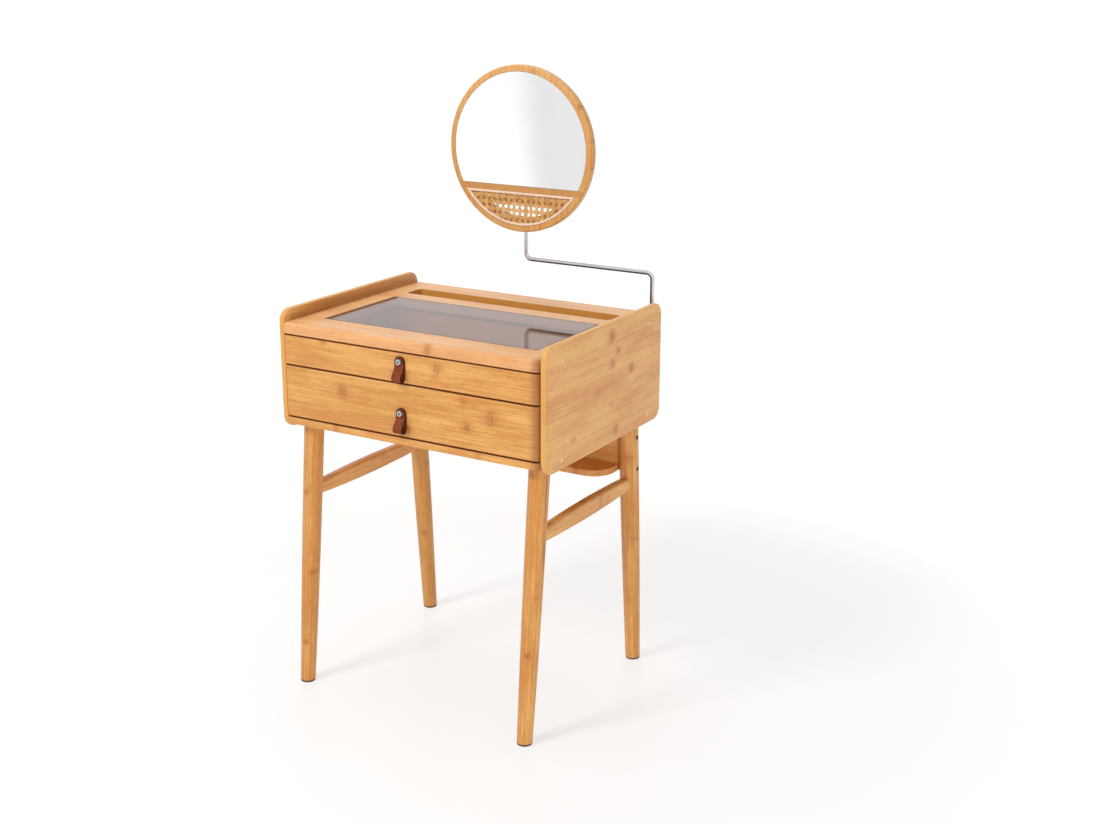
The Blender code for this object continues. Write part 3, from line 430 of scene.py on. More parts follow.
def noise(at, scale, detail=2.0, roughness=0.5, out=0):
    sockets = {"Vector": at, "Scale": scale, "Detail": detail, "Roughness": roughness}
    return at.node("ShaderNodeTexNoise", {}, sockets, out)


def white_noise(number):
    """A random value and a random colour for each number."""
    return number.node("ShaderNodeTexWhiteNoise", {"noise_dimensions": "1D"}, {"W": number}).outs()


def spot(place, centre, size):
    """1 in the middle of an ellipsoid and 0 outside it."""
    return place.vectors("SUBTRACT", centre).vectors("DIVIDE", size).length().ease(1.0, 0.15)


def far_from(first, second):
    """The distance that two values at right angles make together."""
    return first.maths("SQRT", first * first + second * second)


def surface(material, shader):
    shader.node("ShaderNodeOutputMaterial", {}, {"Surface": shader})
    return material


def principled(place, **sockets):
    return place.node("ShaderNodeBsdfPrincipled", {},
                      {name.replace("_", " "): value for name, value in sockets.items()})


def solid(material, colour, roughness, relief=None, **sockets):
    """Ends a material in one shader. relief is a height, how strongly it shows and how deep it is."""
    if relief:
        height, strength, distance = relief
        sockets["Normal"] = height.node("ShaderNodeBump", {}, {
            "Strength": strength, "Distance": distance, "Height": height})
    return surface(material, principled(colour, Base_Color=colour, Roughness=roughness, **sockets))


def bamboo(name, grain, across, timber, seed, strip=None, lean=0.0, marks=(), nodes=0.3, tone=0.0,
           joints=1.0, fade=None, patches=()):
    """Laminated bamboo: strips side by side across the grain, each with its own tone, fibres and nodes.

    marks are single nodes as (x, y, z, size, depth). tone darkens the whole, joints is how strongly
    the glue lines show, and fade is a colour and how far the whole goes towards it. patches are places of
    another tone, many of them painted shade or painted light, as (colour, amount, softness, limits), where
    limits give the axes on which they end.
    """
    material, place = new_finish(name)
    turned = place
    if lean:
        turned = place.node("ShaderNodeMapping", {}, {"Vector": place, "Rotation": (lean, 0, 0)})
    axes = axes_of(turned)
    along, side = axes[grain], axes[across]
    depth = axes[min(set("XYZ") - {grain, across})]
    strip = strip or timber.strip

    def stretched(lengthwise, shift, crosswise):
        return vector(shift * lengthwise, side * crosswise, depth * crosswise, place)

    lane = side / strip + (seed + 40.5)
    number = lane.floor()
    chance, hues = white_noise(number + seed * 7.3)
    first, second, third = place.node("ShaderNodeSeparateColor", {}, {0: hues}).outs()

    shift = along + chance * 3.7
    streaks = noise(stretched(7.0, shift, 230), 1.0, 4.0, 0.62)
    fibres = noise(stretched(42, shift, 1300), 1.0, 2.0, 0.5)
    dashes = noise(stretched(70, shift, 560), 1.0, 1.0, 0.4).ease(0.60, 0.74)
    clouds = noise(stretched(7, along, 22), 1.0, 3.0, 0.55)

    light, dark = timber.light, timber.dark
    if fade:
        aim, share = fade
        light, dark = towards(light, aim, share), towards(dark, aim, share * 0.75)
    shade = chance * 0.42 + (streaks - 0.5) * 2.4 + (clouds - 0.5) * 2.2 + (fibres - 0.5) * 1.4
    colour = mix((shade + (0.27 + tone)).ease(-0.15, 1.15), light, dark)
    colour = mix(first * 0.16, colour, (0.82, 0.33, 0.12))
    colour = mix((clouds - 0.5).ease(0.0, 0.22) * 0.25, colour, (0.72, 0.25, 0.05))
    colour = mix(dashes * 0.30, colour, timber.knot)

    distance = lane % 1.0 - 0.5
    broken = noise(vector(shift * 9, number, depth * 9, place), 1.0, 2.0).ease(0.42, 0.60)
    seam = abs(distance).ease(0.5 - SEAM_WIDTH / strip, 0.5 - SEAM_CORE / strip)
    colour = mix(seam * (0.10 + third * 0.16 + broken * first * 0.55) * joints, colour, timber.knot)

    wander = noise(place, 170.0, out="Color").vectors("SUBTRACT", (0.5, 0.5, 0.5))
    wander = wander.vectors("SCALE", MARK_WANDER, "Scale").vectors("ADD", place)
    specks = noise(stretched(420, along, 420), 1.0, 3.0, 0.7)

    ragged = along + (streaks - 0.5) * NODE_RAGGED
    joint = abs((ragged / NODE_PERIOD + second * 9.7) % 1.0 - 0.5) * NODE_PERIOD
    within = abs(distance).ease(0.52, 0.30) * third.ease(0.30, 0.50) * nodes
    halo, core = joint.ease(*NODE_HALO) * within, joint.ease(*NODE_CORE) * within
    sizes = [[{grain: reach, across: MARK_ACROSS}.get(axis, MARK_DEPTH) for axis in "XYZ"]
             for reach in (MARK_HALO, MARK_CORE)]
    for x, y, z, size, strength in marks:
        wide, tight = [spot(wander, (x, y, z), times(size, parts)) * strength for parts in sizes]
        halo, core = halo.most(wide), core.most(tight)
    colour = mix(halo * (0.40 + clouds * 0.35), colour, (0.56, 0.185, 0.040))
    colour = mix(core * specks.ease(0.38, 0.62) * 0.85, colour, timber.knot)
    colour = mix(core.ease(0.05, 0.5) * specks.ease(0.36, 0.28) * 0.60, colour, (0.90, 0.58, 0.28))

    own = axes_of(place)
    for patch, amount, softness, limits in patches:
        for axis, (near, far) in limits.items():
            middle, half = (near + far) / 2, (far - near) / 2
            amount = abs(own[axis] - middle).ease(half, half - min(softness, half)) * amount
        colour = mix(amount, colour, patch)

    height = fibres * 0.4 + streaks * 0.5 - seam * 0.5 - core * 0.4
    return solid(material, colour, 0.38 + fibres * 0.12 + core * 0.10, (height, 0.22, 0.0004),
                 Coat_Weight=timber.lacquer, Coat_Roughness=0.22)


def painted_end_shade(low, high):
    """The patch of bamboo() that paints shade on a board's rounded right end, beside the side panel."""
    return (0.30, 0.105, 0.020), 0.88, END_SOFT, {
        "X": (high.x - END_DARK, BEYOND), "Y": (-BEYOND, low.y + END_REACH)}


def painted_gap_shade(low, high):
    """The patch of bamboo() that paints shade along a board's upper front edge, in the gap above it."""
    return (0.100, 0.022, 0.006), 0.92, GAP_SHADE_SOFT, {
        "Y": (-BEYOND, low.y + GAP_SHADE_REACH), "Z": (high.z - GAP_SHADE_DROP, BEYOND)}


def end_grain(name, timber):
    """Pale round dowel ends, with the pores of cut fibres."""
    material, place = new_finish(name)
    pores = noise(place, 2600).ease(0.56, 0.70)
    rings = noise(place, 420, 3.0)
    colour = mix(rings.ease(0.35, 0.70), (0.90, 0.68, 0.42), (0.78, 0.50, 0.25))
    colour = mix(pores * 0.45, colour, timber.knot)
    return solid(material, colour, 0.48 + pores * 0.2, (1.0 - pores, 0.25, 0.0002))


def smoked_glass(name, fittings, low, high):
    """Dark tinted glass with a ground edge and painted shade along its rim, which lets the lamps reach what
    lies below it.
    """
    material, place = new_finish(name)
    axes = axes_of(place)
    middle, half = (low + high) / 2, (high - low) / 2
    # Painted shade: the tint goes nearly black near each edge, between the rim's outer and inner reach.
    outer, inner = GLASS_RIM
    aside = abs(axes["X"] - middle.x).ease(half.x - outer, half.x - inner)
    ahead = abs(axes["Y"] - middle.y).ease(half.y - outer, half.y - inner)
    smears = noise(place, 22, 4.0, 0.6).ease(0.40, 0.75)
    tint = mix(aside.most(ahead), fittings.glass, (0.10, 0.07, 0.06))
    glass = principled(place, Base_Color=tint, Transmission_Weight=1.0, IOR=1.40,
                       Roughness=0.015 + smears * 0.03)
    clear = place.node("ShaderNodeBsdfTransparent", {}, {
        "Color": as_colour(towards((1, 1, 1), fittings.glass, 0.55))})
    shadow = place.node("ShaderNodeLightPath", out="Is Shadow Ray")
    return surface(material, place.node("ShaderNodeMixShader", {}, {0: shadow, 1: glass, 2: clear}))


def silvered(name):
    """Mirror glass, faintly marked by handling."""
    material, place = new_finish(name)
    smears = noise(place, 14, 4.0, 0.55).ease(0.45, 0.80)
    colour = mix(smears, (0.925, 0.935, 0.935), (0.90, 0.91, 0.915))
    return solid(material, colour, 0.012 + smears * 0.025, Metallic=1.0)


def polished_steel(name, colour, roughness, rims=(), under=None):
    """Polished steel with fine lengthwise scratches, a little cloudiness, and painted reflection and shade.

    rims are screw heads facing the front, as (x, z, radius), each with a painted dark reflection and shade
    near its rim and painted shade in its drive. under is the place across, the bend and the height of the
    level run of a bent rod, which gets a painted dark reflection on the inner side of its level run, right
    bend and upright.
    """
    material, place = new_finish(name)
    axes = axes_of(place)
    scratches = noise(vector(axes["X"] * 900, axes["Y"] * 900, axes["Z"] * 60, place), 1.0)
    clouds = noise(place, 45, 3.0)
    tone = mix(clouds.ease(0.35, 0.70), colour, times(0.90, colour))
    for x, z, radius in rims:
        # Painted reflection and shade: a dark ring near the dome's rim, and a dark middle in its drive.
        out = far_from(axes["X"] - x, axes["Z"] - z)
        rim_painted_reflection = out.ease(0.62 * radius, 0.95 * radius) * out.ease(1.2 * radius, 1.1 * radius)
        tone = mix(rim_painted_reflection * 0.85, tone, (0.10, 0.09, 0.09))
        tone = mix(out.ease(0.40 * radius, 0.30 * radius) * 0.75, tone, (0.12, 0.11, 0.11))
    if under:
        # Painted reflection: the rod's inner side, along its level run, right bend and upright, is made dark.
        upright, bend, level = under
        out = far_from((axes["X"] - (upright - bend + ROD_SHADE)).most(0.0),
                       (axes["Z"] - (level - bend)).most(0.0))
        tone = mix(out.ease(bend + ROD_SHADE_SOFT, bend - ROD_SHADE), tone, (0.105, 0.100, 0.098))
    return solid(material, tone, roughness + scratches * 0.10 + clouds * 0.05, (scratches, 0.05, 0.0001),
                 Metallic=1.0)


def leather(name, fittings, top, middle):
    """Vegetable-tanned strap leather: pebbled, darker and rubbed smooth along its cut edges."""
    material, place = new_finish(name)
    axes = axes_of(place)
    half = fittings.strap_width / 2
    outer, inner = STRAP_RUBBED
    out = far_from(abs(axes["X"] - middle), (axes["Z"] - (top - half)).most(0.0))
    edge = out.ease(half - outer, half - inner)
    pebbles = place.node("ShaderNodeTexVoronoi", {"feature": "SMOOTH_F1"},
                         {"Vector": place, "Scale": 1150.0, "Smoothness": 0.6})
    creases = place.node("ShaderNodeTexVoronoi", {"feature": "DISTANCE_TO_EDGE"},
                         {"Vector": place, "Scale": 700.0}).ease(0.10, 0.0)
    clouds = noise(place, 130, 4.0, 0.6)
    deep = times(0.60, fittings.leather)
    colour = mix(clouds.ease(0.30, 0.72), times(1.25, fittings.leather), deep)
    colour = mix(creases * 0.35, colour, deep)
    rubbed = noise(place, 300, 3.0)
    colour = mix(edge * (0.80 + rubbed * 0.35), colour, fittings.leather_edge)
    grain = ((1.0 - pebbles) * 0.7 - creases * 0.4) * (1.0 - edge * 0.7)
    return solid(material, colour, 0.55 - edge * 0.20 + clouds * 0.10, (grain, 0.35, 0.0004),
                 Specular_IOR_Level=0.22)


def felt(name):
    """Dark felt under the feet."""
    material, place = new_finish(name)
    fluff = noise(place, 1800, 4.0, 0.7)
    colour = mix(fluff.ease(0.30, 0.70), (0.045, 0.030, 0.022), (0.13, 0.095, 0.075))
    return solid(material, colour, 0.95, (fluff, 0.5, 0.0006), Sheen_Weight=0.3)


def cane(name, caning, grain, across, seed):
    """Split cane: glossy on its skin, with a pale core, long fibres and strands of unlike tone."""
    material, place = new_finish(name)
    axes = axes_of(place)
    flat = {"X": axes["X"], "Z": axes["Z"], "up": axes["X"] + axes["Z"], "down": axes["X"] - axes["Z"]}
    along, side = flat[grain], flat[across]
    strands = white_noise((side / (caning.pitch / 2) + (seed + 60.5)).floor())[0]
    fibres = noise(vector(along * 60, side * 1900, axes["Y"] * 1900, place), 1.0, 3.0, 0.6)
    blotches = noise(vector(along * 90, side * 40, axes["Y"] * 40, place), 1.0, 3.0, 0.6)
    shade = strands * 0.4 + (blotches - 0.5) * 2.0 + (fibres - 0.5) * 1.2 + 0.30
    colour = mix(shade.ease(0.0, 1.0), caning.light, caning.dark)
    burnt = noise(place, 420, 3.0, 0.65).ease(0.52, 0.66)
    colour = mix(burnt * 0.55, colour, (0.36, 0.13, 0.03))
    return solid(material, colour, 0.34 + fibres * 0.25, (fibres, 0.4, 0.0002))


def reed(name, caning):
    """The pale pinkish reed that holds the cane in its groove."""
    material, place = new_finish(name)
    axes = axes_of(place)
    fibres = noise(vector(axes["X"] * 70, axes["Y"] * 1600, axes["Z"] * 300, place), 1.0, 3.0, 0.6)
    blotches = noise(place, 60, 3.0, 0.6)
    shade = (fibres * 0.6 + blotches * 0.7 - 0.15).ease(0.2, 0.8)
    colour = mix(shade, caning.bead, times(0.82, caning.bead))
    return solid(material, colour, 0.50 + fibres * 0.15, (fibres, 0.3, 0.0002))


def mode(name):
    bpy.ops.object.mode_set(mode=name)


def whole():
    """Selects all of the mesh that is being edited."""
    bpy.ops.mesh.select_all(action="SELECT")


def only(*objs):
    """Leaves edit mode, and selects these objects and no others."""
    if bpy.context.object and bpy.context.object.mode != "OBJECT":
        mode("OBJECT")
    bpy.ops.object.select_all(action="DESELECT")
    for obj in objs:
        obj.select_set(True)
    if objs:
        bpy.context.view_layer.objects.active = objs[-1]


def named(name):
    """The primitive that was just added, with its place in its mesh and a name."""
    bpy.ops.object.transform_apply(location=True, rotation=True, scale=True)
    obj = bpy.context.object
    obj.name = obj.data.name = name
    return obj


def block(name, low, high):
    """A cube between two opposite corners, to shape further."""
    low, high = Vector(low), Vector(high)
    only()
    bpy.ops.mesh.primitive_cube_add(size=1, location=(low + high) / 2, scale=high - low)
    return named(name)


def drum(name, centre, radius, depth, axis="Z", sides=40):
    """A cylinder about an axis, to shape further."""
    turned = {"X": (0, math.pi / 2, 0), "Y": (math.pi / 2, 0, 0), "Z": (0, 0, 0)}[axis]
    only()
    bpy.ops.mesh.primitive_cylinder_add(vertices=sides, radius=radius, depth=depth, location=centre,
                                        rotation=turned)
    return named(name)


def pick(obj, kind, test):
    """Goes into edit mode with only the vertices or edges that test accepts selected."""
    only(obj)
    mode("EDIT")
    bpy.ops.mesh.select_mode(type=kind)
    bpy.ops.mesh.select_all(action="DESELECT")
    mode("OBJECT")
    chosen = [part for part in {"VERT": obj.data.vertices, "EDGE": obj.data.edges}[kind] if test(part)]
    if not chosen:
        raise RuntimeError("%s has nothing to select where it is shaped" % obj.name)
    for part in chosen:
        part.select = True
    mode("EDIT")


def pick_edges(obj, test):
    """Goes into edit mode with only the edges selected whose two ends test accepts."""
    pick(obj, "EDGE", lambda edge: test(*[obj.data.vertices[index].co for index in edge.vertices]))


def bevel_edges(obj, width, segments, test):
    """Rounds the edges whose two ends test accepts."""
    pick_edges(obj, test)
    bpy.ops.mesh.bevel(offset=width, segments=segments, profile=0.5, affect="EDGES")
    mode("OBJECT")


def apply_modifier(obj, kind, **settings):
    only(obj)
    bpy.ops.object.modifier_add(type=kind)
    modifier = obj.modifiers[-1]
    for name, value in settings.items():
        setattr(modifier, name, value)
    bpy.ops.object.modifier_apply(modifier=modifier.name)
    if not obj.data.polygons:
        raise RuntimeError("%s lost all its faces" % obj.name)


def soften(obj, width, segments=3, angle=35):
    """Rounds every edge sharper than an angle."""
    apply_modifier(obj, "BEVEL", width=width, segments=segments, limit_method="ANGLE",
                   angle_limit=math.radians(angle), use_clamp_overlap=True)


def discard(obj):
    only(obj)
    bpy.ops.object.delete()


def cut(obj, *cutters, operation="DIFFERENCE", keep=False):
    """Shapes an object with others, which then go unless they are kept."""
    for cutter in cutters:
        apply_modifier(obj, "BOOLEAN", object=cutter, operation=operation, solver="EXACT")
        if not keep:
            discard(cutter)


def board(name, low, high, corner=0.0, axis="Z", corners="all", edge=0.0, nose=0.0, steps=12):
    """A board with corners along an axis rounded, then its upper front edge, then all its edges.

    The corners are all of them, or only the "front" or "front right" ones.
    """
    obj = block(name, low, high)
    way = "XYZ".index(axis)
    middle = (Vector(low) + Vector(high)) / 2

    def rounded(a, b):
        if (a - b).length - abs((a - b)[way]) > NEAR:
            return False
        return corners == "all" or a.y < middle.y and (corners == "front" or a.x > middle.x)

    if corner:
        bevel_edges(obj, corner, steps, rounded)
    if nose:
        reach = low[1] + corner - NEAR
        bevel_edges(obj, nose, 7, lambda a, b: min(a.z, b.z) > high[2] - NEAR and (a.y + b.y) / 2 < reach)
    if edge:
        soften(obj, edge)
    return obj


def between_panels(node, play=0.0):
    """The corners of a board that is flush with the side panels' front edges, with some play at its ends."""
    low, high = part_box(node)
    return (Vector((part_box("left_side_panel")[1].x + play, low.y - FORWARD, low.z)),
            Vector((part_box("right_side_panel")[0].x - play, high.y, high.z)))


def copy_of(obj, name, offset=(0, 0, 0), flip=None, degrees=0):
    """A copy with its own mesh, turned over along an axis if flip names one, turned about Y, and moved."""
    only(obj)
    bpy.ops.object.duplicate(linked=False)
    made = bpy.context.object
    if flip:
        made.scale["XYZ".index(flip)] = -1
    made.rotation_euler = (0, math.radians(degrees), 0)
    made.location = offset
    named(name)
    if flip:
        face_outwards(made)
    return made


def face_outwards(obj):
    """Merges doubled points and turns every face outwards."""
    only(obj)
    mode("EDIT")
    whole()
    bpy.ops.mesh.remove_doubles(threshold=NEAR)
    bpy.ops.mesh.normals_make_consistent(inside=False)
    mode("OBJECT")


def joined(name, *objs):
    only(*objs)
    bpy.ops.object.join()
    return named(name)


def fit(piece, material, body, slot, *nodes, angle=32):
    """Smooths a finished piece, gives it its material, and hands it to its body in place of its nodes."""
    only(piece)
    bpy.ops.object.shade_smooth_by_angle(angle=math.radians(angle))
    apply_modifier(piece, "WEIGHTED_NORMAL", mode="FACE_AREA", weight=100, keep_sharp=True)
    piece.data.materials.clear()
    piece.data.materials.append(material)
    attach(piece, body)
    if nodes:
        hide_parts(*nodes)


def dress(material, *nodes):
    """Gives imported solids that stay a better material."""
    for node in nodes:
        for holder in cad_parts[node].material_slots:
            holder.material = material


def turn(centre, degrees, steps, axis):
    """Spins the selection about an axis through a centre."""
    bpy.ops.mesh.spin(steps=steps, angle=math.radians(degrees), center=centre, axis=axis)


def draw(offset):
    """Extrudes the selection by an offset."""
    bpy.ops.mesh.extrude_region_move(TRANSFORM_OT_translate={"value": offset})


def ring(name, centre, radius, sides, axis="Z", squeeze=(1, 1)):
    """An open ring across an axis, selected in edit mode, to draw a bar from."""
    turned = {"X": (0, math.pi / 2, 0), "Z": (0, 0, 0)}[axis]
    only()
    bpy.ops.mesh.primitive_circle_add(vertices=sides, radius=radius, fill_type="NOTHING", location=centre,
                                      rotation=turned)
    bpy.context.object.scale = (*squeeze, 1)
    obj = named(name)
    mode("EDIT")
    whole()
    return obj


def close_ends(obj):
    """Fills the open ends of a bar that was drawn from a ring."""
    whole()
    bpy.ops.mesh.fill_holes(sides=0)
    face_outwards(obj)


def one_point(name, place):
    """A mesh of a single selected vertex, in edit mode, to draw an outline from."""
    only()
    bpy.ops.mesh.primitive_plane_add(size=0.01, location=place)
    obj = named(name)
    mode("EDIT")
    bpy.ops.mesh.select_mode(type="VERT")
    whole()
    bpy.ops.mesh.merge(type="CENTER")
    return obj


def thickened(obj, depth):
    """Fills the outline that was drawn from a point, and gives it depth towards the back."""
    whole()
    bpy.ops.mesh.edge_face_add()
    draw((0, depth, 0))
    face_outwards(obj)
    return obj


UP_FROM_X = (0, 1, 0)
DOWN_FROM_X = (0, -1, 0)


def segment_plate(name, radius, chord, fillet, near, far, below=False):
    """A plate in the mirror's plane: part of a disc above or below a chord, from depth near to far."""
    sign = -1 if below else 1
    height = sign * chord + fillet
    reach = math.sqrt((radius - fillet) ** 2 - height ** 2)
    lean = math.degrees(math.atan2(height, reach))

    def at(across, up):
        return (MIRROR_X + sign * across, MIRROR_FRONT + near, MIRROR_Z + sign * up)

    obj = one_point(name, at(reach, height - fillet))
    if fillet:
        turn(at(reach, height), 90 + lean, 10, UP_FROM_X)
    turn(at(0, 0), 180 - 2 * lean, 120, UP_FROM_X)
    if fillet:
        turn(at(-reach, height), 90 + lean, 10, UP_FROM_X)
    return thickened(obj, far - near)


class TablePiece:
    """What the operators have in common."""

    bl_options = {"REGISTER", "UNDO"}

    def execute(self, context):
        self.build(context.scene)
        return {"FINISHED"}


class DRESSING_TABLE_OT_stage(TablePiece, bpy.types.Operator):
    """Floor, lamps, sky and camera"""

    bl_idname = "dressing_table.stage"
    bl_label = "Stage"

    def build(self, scene):
        studio = scene.dressing_studio
        self.floor(studio)
        self.sky(scene, studio)
        for name, (place, size) in LAMPS.items():
            self.lamp(name + "_lamp", place, size, getattr(studio, name))
        bpy.ops.object.camera_add(location=CAMERA_PLACE)
        camera = bpy.context.object
        camera.name = "photo_camera"
        camera.rotation_mode = "QUATERNION"
        roll = Quaternion((0, 0, 1), math.radians(CAMERA_ROLL))
        camera.rotation_quaternion = Vector(CAMERA_WAY).to_track_quat("-Z", "Y") @ roll
        camera.data.sensor_width = 36.0
        camera.data.lens = CAMERA_LENS
        camera.data.clip_start, camera.data.clip_end = 0.05, 200.0
        scene.camera = camera
        scene.view_settings.view_transform = "Standard"

    def floor(self, studio):
        """A wide floor that keeps the shadow and goes over into white further out."""
        only()
        bpy.ops.mesh.primitive_plane_add(size=FLOOR_SIZE, location=(0, 0, 0))
        floor = named("studio_floor")
        mode("EDIT")
        bpy.ops.mesh.subdivide(number_cuts=4)
        mode("OBJECT")
        material, place = new_finish("studio_floor")
        colour = mix(noise(place, 3.0, 3.0), studio.floor, times(0.985, studio.floor))
        matt = principled(place, Base_Color=colour, Roughness=0.32, Specular_IOR_Level=0.35)
        mirrored, seen = self.rays(place)
        tint = mix(self.wall(place) * mirrored, (1, 1, 1), studio.wall)
        glow = place.node("ShaderNodeEmission", {}, {"Color": tint, "Strength": 1.09})
        white = seen * (0.55 + place.length().ease(0.8, 1.7) * 0.45)
        shader = place.node("ShaderNodeMixShader", {}, {0: white, 1: matt, 2: glow})
        floor.data.materials.append(surface(material, shader))

    def sky(self, scene, studio):
        """White where it is seen, with the pale wall low in reflections, and soft light for the rest."""
        world = bpy.data.worlds.new("studio_sky")
        world.use_nodes = True
        world.node_tree.nodes.clear()
        scene.world = world
        way = Shade(world.node_tree).node("ShaderNodeTexCoord", out="Generated")
        mirrored, seen = self.rays(way)
        tint = mix(self.wall(way) * axes_of(way)["Z"].ease(0.45, 0.0) * mirrored, (1, 1, 1), studio.wall)
        light = way.node("ShaderNodeBackground", {}, {
            "Color": tint, "Strength": studio.ambient + seen * (1.0 - studio.ambient)})
        way.node("ShaderNodeOutputWorld", {}, {"Surface": light})

    def rays(self, place):
        """1 for what a reflection shows, and 1 for what shows straight, in a reflection or through glass."""
        outputs = place.node("ShaderNodeLightPath").socket.node.outputs
        straight, mirrored, through = [Shade(place.tree, outputs[kind]) for kind in (
            "Is Camera Ray", "Is Glossy Ray", "Is Transmission Ray")]
        return mirrored, straight.most(mirrored).most(through)

    def wall(self, way):
        """How far a direction from the table points at the pale wall, which begins left of its front."""
        axes = axes_of(way)
        x, y = axes["X"], axes["Y"]
        span = x.maths("SQRT", x * x + y * y + 0.0001)
        aside, ahead = (x * 0.845 - y * 0.534) / span, (x * 0.534 + y * 0.845) / span
        return aside.ease(-0.012, 0.016) * ahead.ease(0.2, -0.5)

    def lamp(self, name, place, size, power):
        bpy.ops.object.light_add(type="AREA", location=place)
        lamp = bpy.context.object
        lamp.name = name
        lamp.rotation_euler = (Vector(LAMP_AIM) - Vector(place)).to_track_quat("-Z", "Y").to_euler()
        lamp.data.shape = "RECTANGLE"
        lamp.data.size, lamp.data.size_y = size
        lamp.data.energy = power
        lamp.visible_glossy = False


class DRESSING_TABLE_OT_side_panels(TablePiece, bpy.types.Operator):
    """Two lipped side panels and the dowels whose ends show in them"""

    bl_idname = "dressing_table.side_panels"
    bl_label = "Side Panels"

    def build(self, scene):
        timber = scene.dressing_timber
        marks = {
            "left": [(-0.300, -0.120, 0.640, 1.0, 0.7), (-0.300, 0.080, 0.690, 0.8, 0.6)],
            "right": [(0.300, 0.0184, 0.7410, 1.4, 1.0), (0.300, 0.0438, 0.7080, 0.9, 0.9),
                      (0.300, 0.0219, 0.6861, 1.0, 1.0), (0.300, 0.0977, 0.6620, 1.1, 1.0),
                      (0.300, -0.0349, 0.6439, 0.8, 0.5), (0.300, 0.0192, 0.6101, 0.8, 0.4),
                      (0.300, 0.0372, 0.5540, 1.1, 1.0), (0.300, -0.1243, 0.5765, 0.8, 0.5)],
        }
        middles = {}
        for key in product(SIDES, LEVELS, LEG_LINES):
            low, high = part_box("dowel_%s_%s_%s" % key)
            middles[key] = (low + high) / 2
        for word, sign in SIDES.items():
            low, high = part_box(word + "_side_panel")
            inner, outer = (low.x, high.x) if sign > 0 else (high.x, low.x)
            panel = board("side_panel_" + word, low, high, corner=PANEL_CORNER, axis="X", edge=PANEL_EDGE)
            for (side, _, _), middle in middles.items():
                if side == word:
                    cut(panel, drum("bore", (outer, middle.y, middle.z), DOWEL_HOLE, 2 * DOWEL_DEPTH, "X"))
            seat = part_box("top_board")[1]
            worn_edge = (0.70, 0.34, 0.070), 0.65, PANEL_WEAR / 2, {"Y": (-BEYOND, low.y + PANEL_WEAR)}
            # Painted shade along the foot of each lip's inner face, where it rises from the top.
            lip_painted_shade = (0.26, 0.085, 0.018), 0.35, LIP_SOFT, {
                "X": (inner - PAST, inner + PAST), "Y": (low.y + LIP_FRONT, high.y - LIP_REAR),
                "Z": (seat.z - PAST, seat.z + LIP_RISE)}
            material = bamboo("bamboo_panel_" + word, "Y", "Z", timber, 3.0 + sign, marks=marks[word],
                              nodes=0.15, joints=0.95, tone=-0.20, fade=(timber.bleached, 0.10),
                              patches=[worn_edge, lip_painted_shade])
            fit(panel, material, "case", "bamboo", word + "_side_panel")

        fresh_ends = end_grain("dowel_end_grain", timber)
        model = drum("peg", (0, 0, 0), DOWEL_RADIUS, DOWEL_DEPTH, "X")
        soften(model, DOWEL_EDGE, 2)
        for key, middle in middles.items():
            node = "dowel_%s_%s_%s" % key
            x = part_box(node)[key[0] == "right"].x - SIDES[key[0]] * DOWEL_DEPTH / 2
            peg = copy_of(model, "peg_end_%s_%s_%s" % key, (x, middle.y, middle.z))
            fit(peg, fresh_ends, "case", "pale_wood", node)
        discard(model)


class DRESSING_TABLE_OT_top(TablePiece, bpy.types.Operator):
    """The top board with its glazed window and the slot behind it"""

    bl_idname = "dressing_table.top"
    bl_label = "Top"

    def build(self, scene):
        timber = scene.dressing_timber
        low, high = between_panels("top_board")
        pane_low, pane_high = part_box("glass_top")
        gap, ledge = Vector((GLASS_GAP, GLASS_GAP, 0)), Vector((GLASS_LEDGE, GLASS_LEDGE, 0))
        rebate_low, rebate_high = pane_low - gap, pane_high + gap
        rebate_low.z -= GLASS_SEAT
        rebate_high.z += PAST
        window_low, window_high = rebate_low + ledge, rebate_high - ledge
        window_low.z = low.z - PAST
        slot_low = (-SLOT_HALF - NEAR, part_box("trough_front_wall")[1].y - NEAR, low.z - PAST)
        slot_high = (SLOT_HALF + NEAR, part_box("trough_rear_wall")[0].y + NEAR, high.z + PAST)
        top = board("top_with_window", low, high, corner=FRONT_CORNER, corners="front right", nose=TOP_NOSE)
        cut(top, board("rebate", rebate_low, rebate_high, corner=GLASS_CORNER, steps=6))
        cut(top, board("window", window_low, window_high, corner=GLASS_CORNER, steps=6))
        cut(top, board("slot", slot_low, slot_high, corner=SLOT_CORNER, steps=6))
        soften(top, CUT_EDGE, 2, 50)
        # Painted light: the walls of the window under the glass are made pale grey, as if brightly lit.
        window_painted_light = (0.78, 0.64, 0.58), 0.9, NEAR, {
            "X": (window_low.x - NEAR, window_high.x + NEAR),
            "Y": (window_low.y - NEAR, window_high.y + NEAR),
            "Z": (window_low.z, rebate_low.z - NEAR)}
        shaded = (0.67, 0.315, 0.058), 0.88, SLOT_SOFT, {
            "X": (slot_low[0] - SLOT_SKIN, slot_high[0] + SLOT_SKIN),
            "Y": (slot_low[1] - SLOT_SKIN, slot_high[1] + SLOT_SKIN),
            "Z": (slot_low[2], high.z - SLOT_SKIN)}
        # The top gets painted light on its window's walls, and painted shade in its slot and at its right
        # end.
        material = bamboo("bamboo_top", "X", "Y", timber, 5.0, marks=[(0.0478, -0.223, 0.7353, 0.9, 0.9)],
                          fade=(timber.bleached, 0.70), patches=[window_painted_light, shaded, painted_end_shade(low, high)])
        fit(top, material, "case", "bamboo", "top_board")

        pane = board("smoked_pane", pane_low, pane_high, corner=GLASS_CORNER, edge=GLASS_EDGE, steps=8)
        material = smoked_glass("smoked_glass_pane", scene.dressing_fittings, pane_low, pane_high)
        fit(pane, material, "case", "smoked_glass", "glass_top")


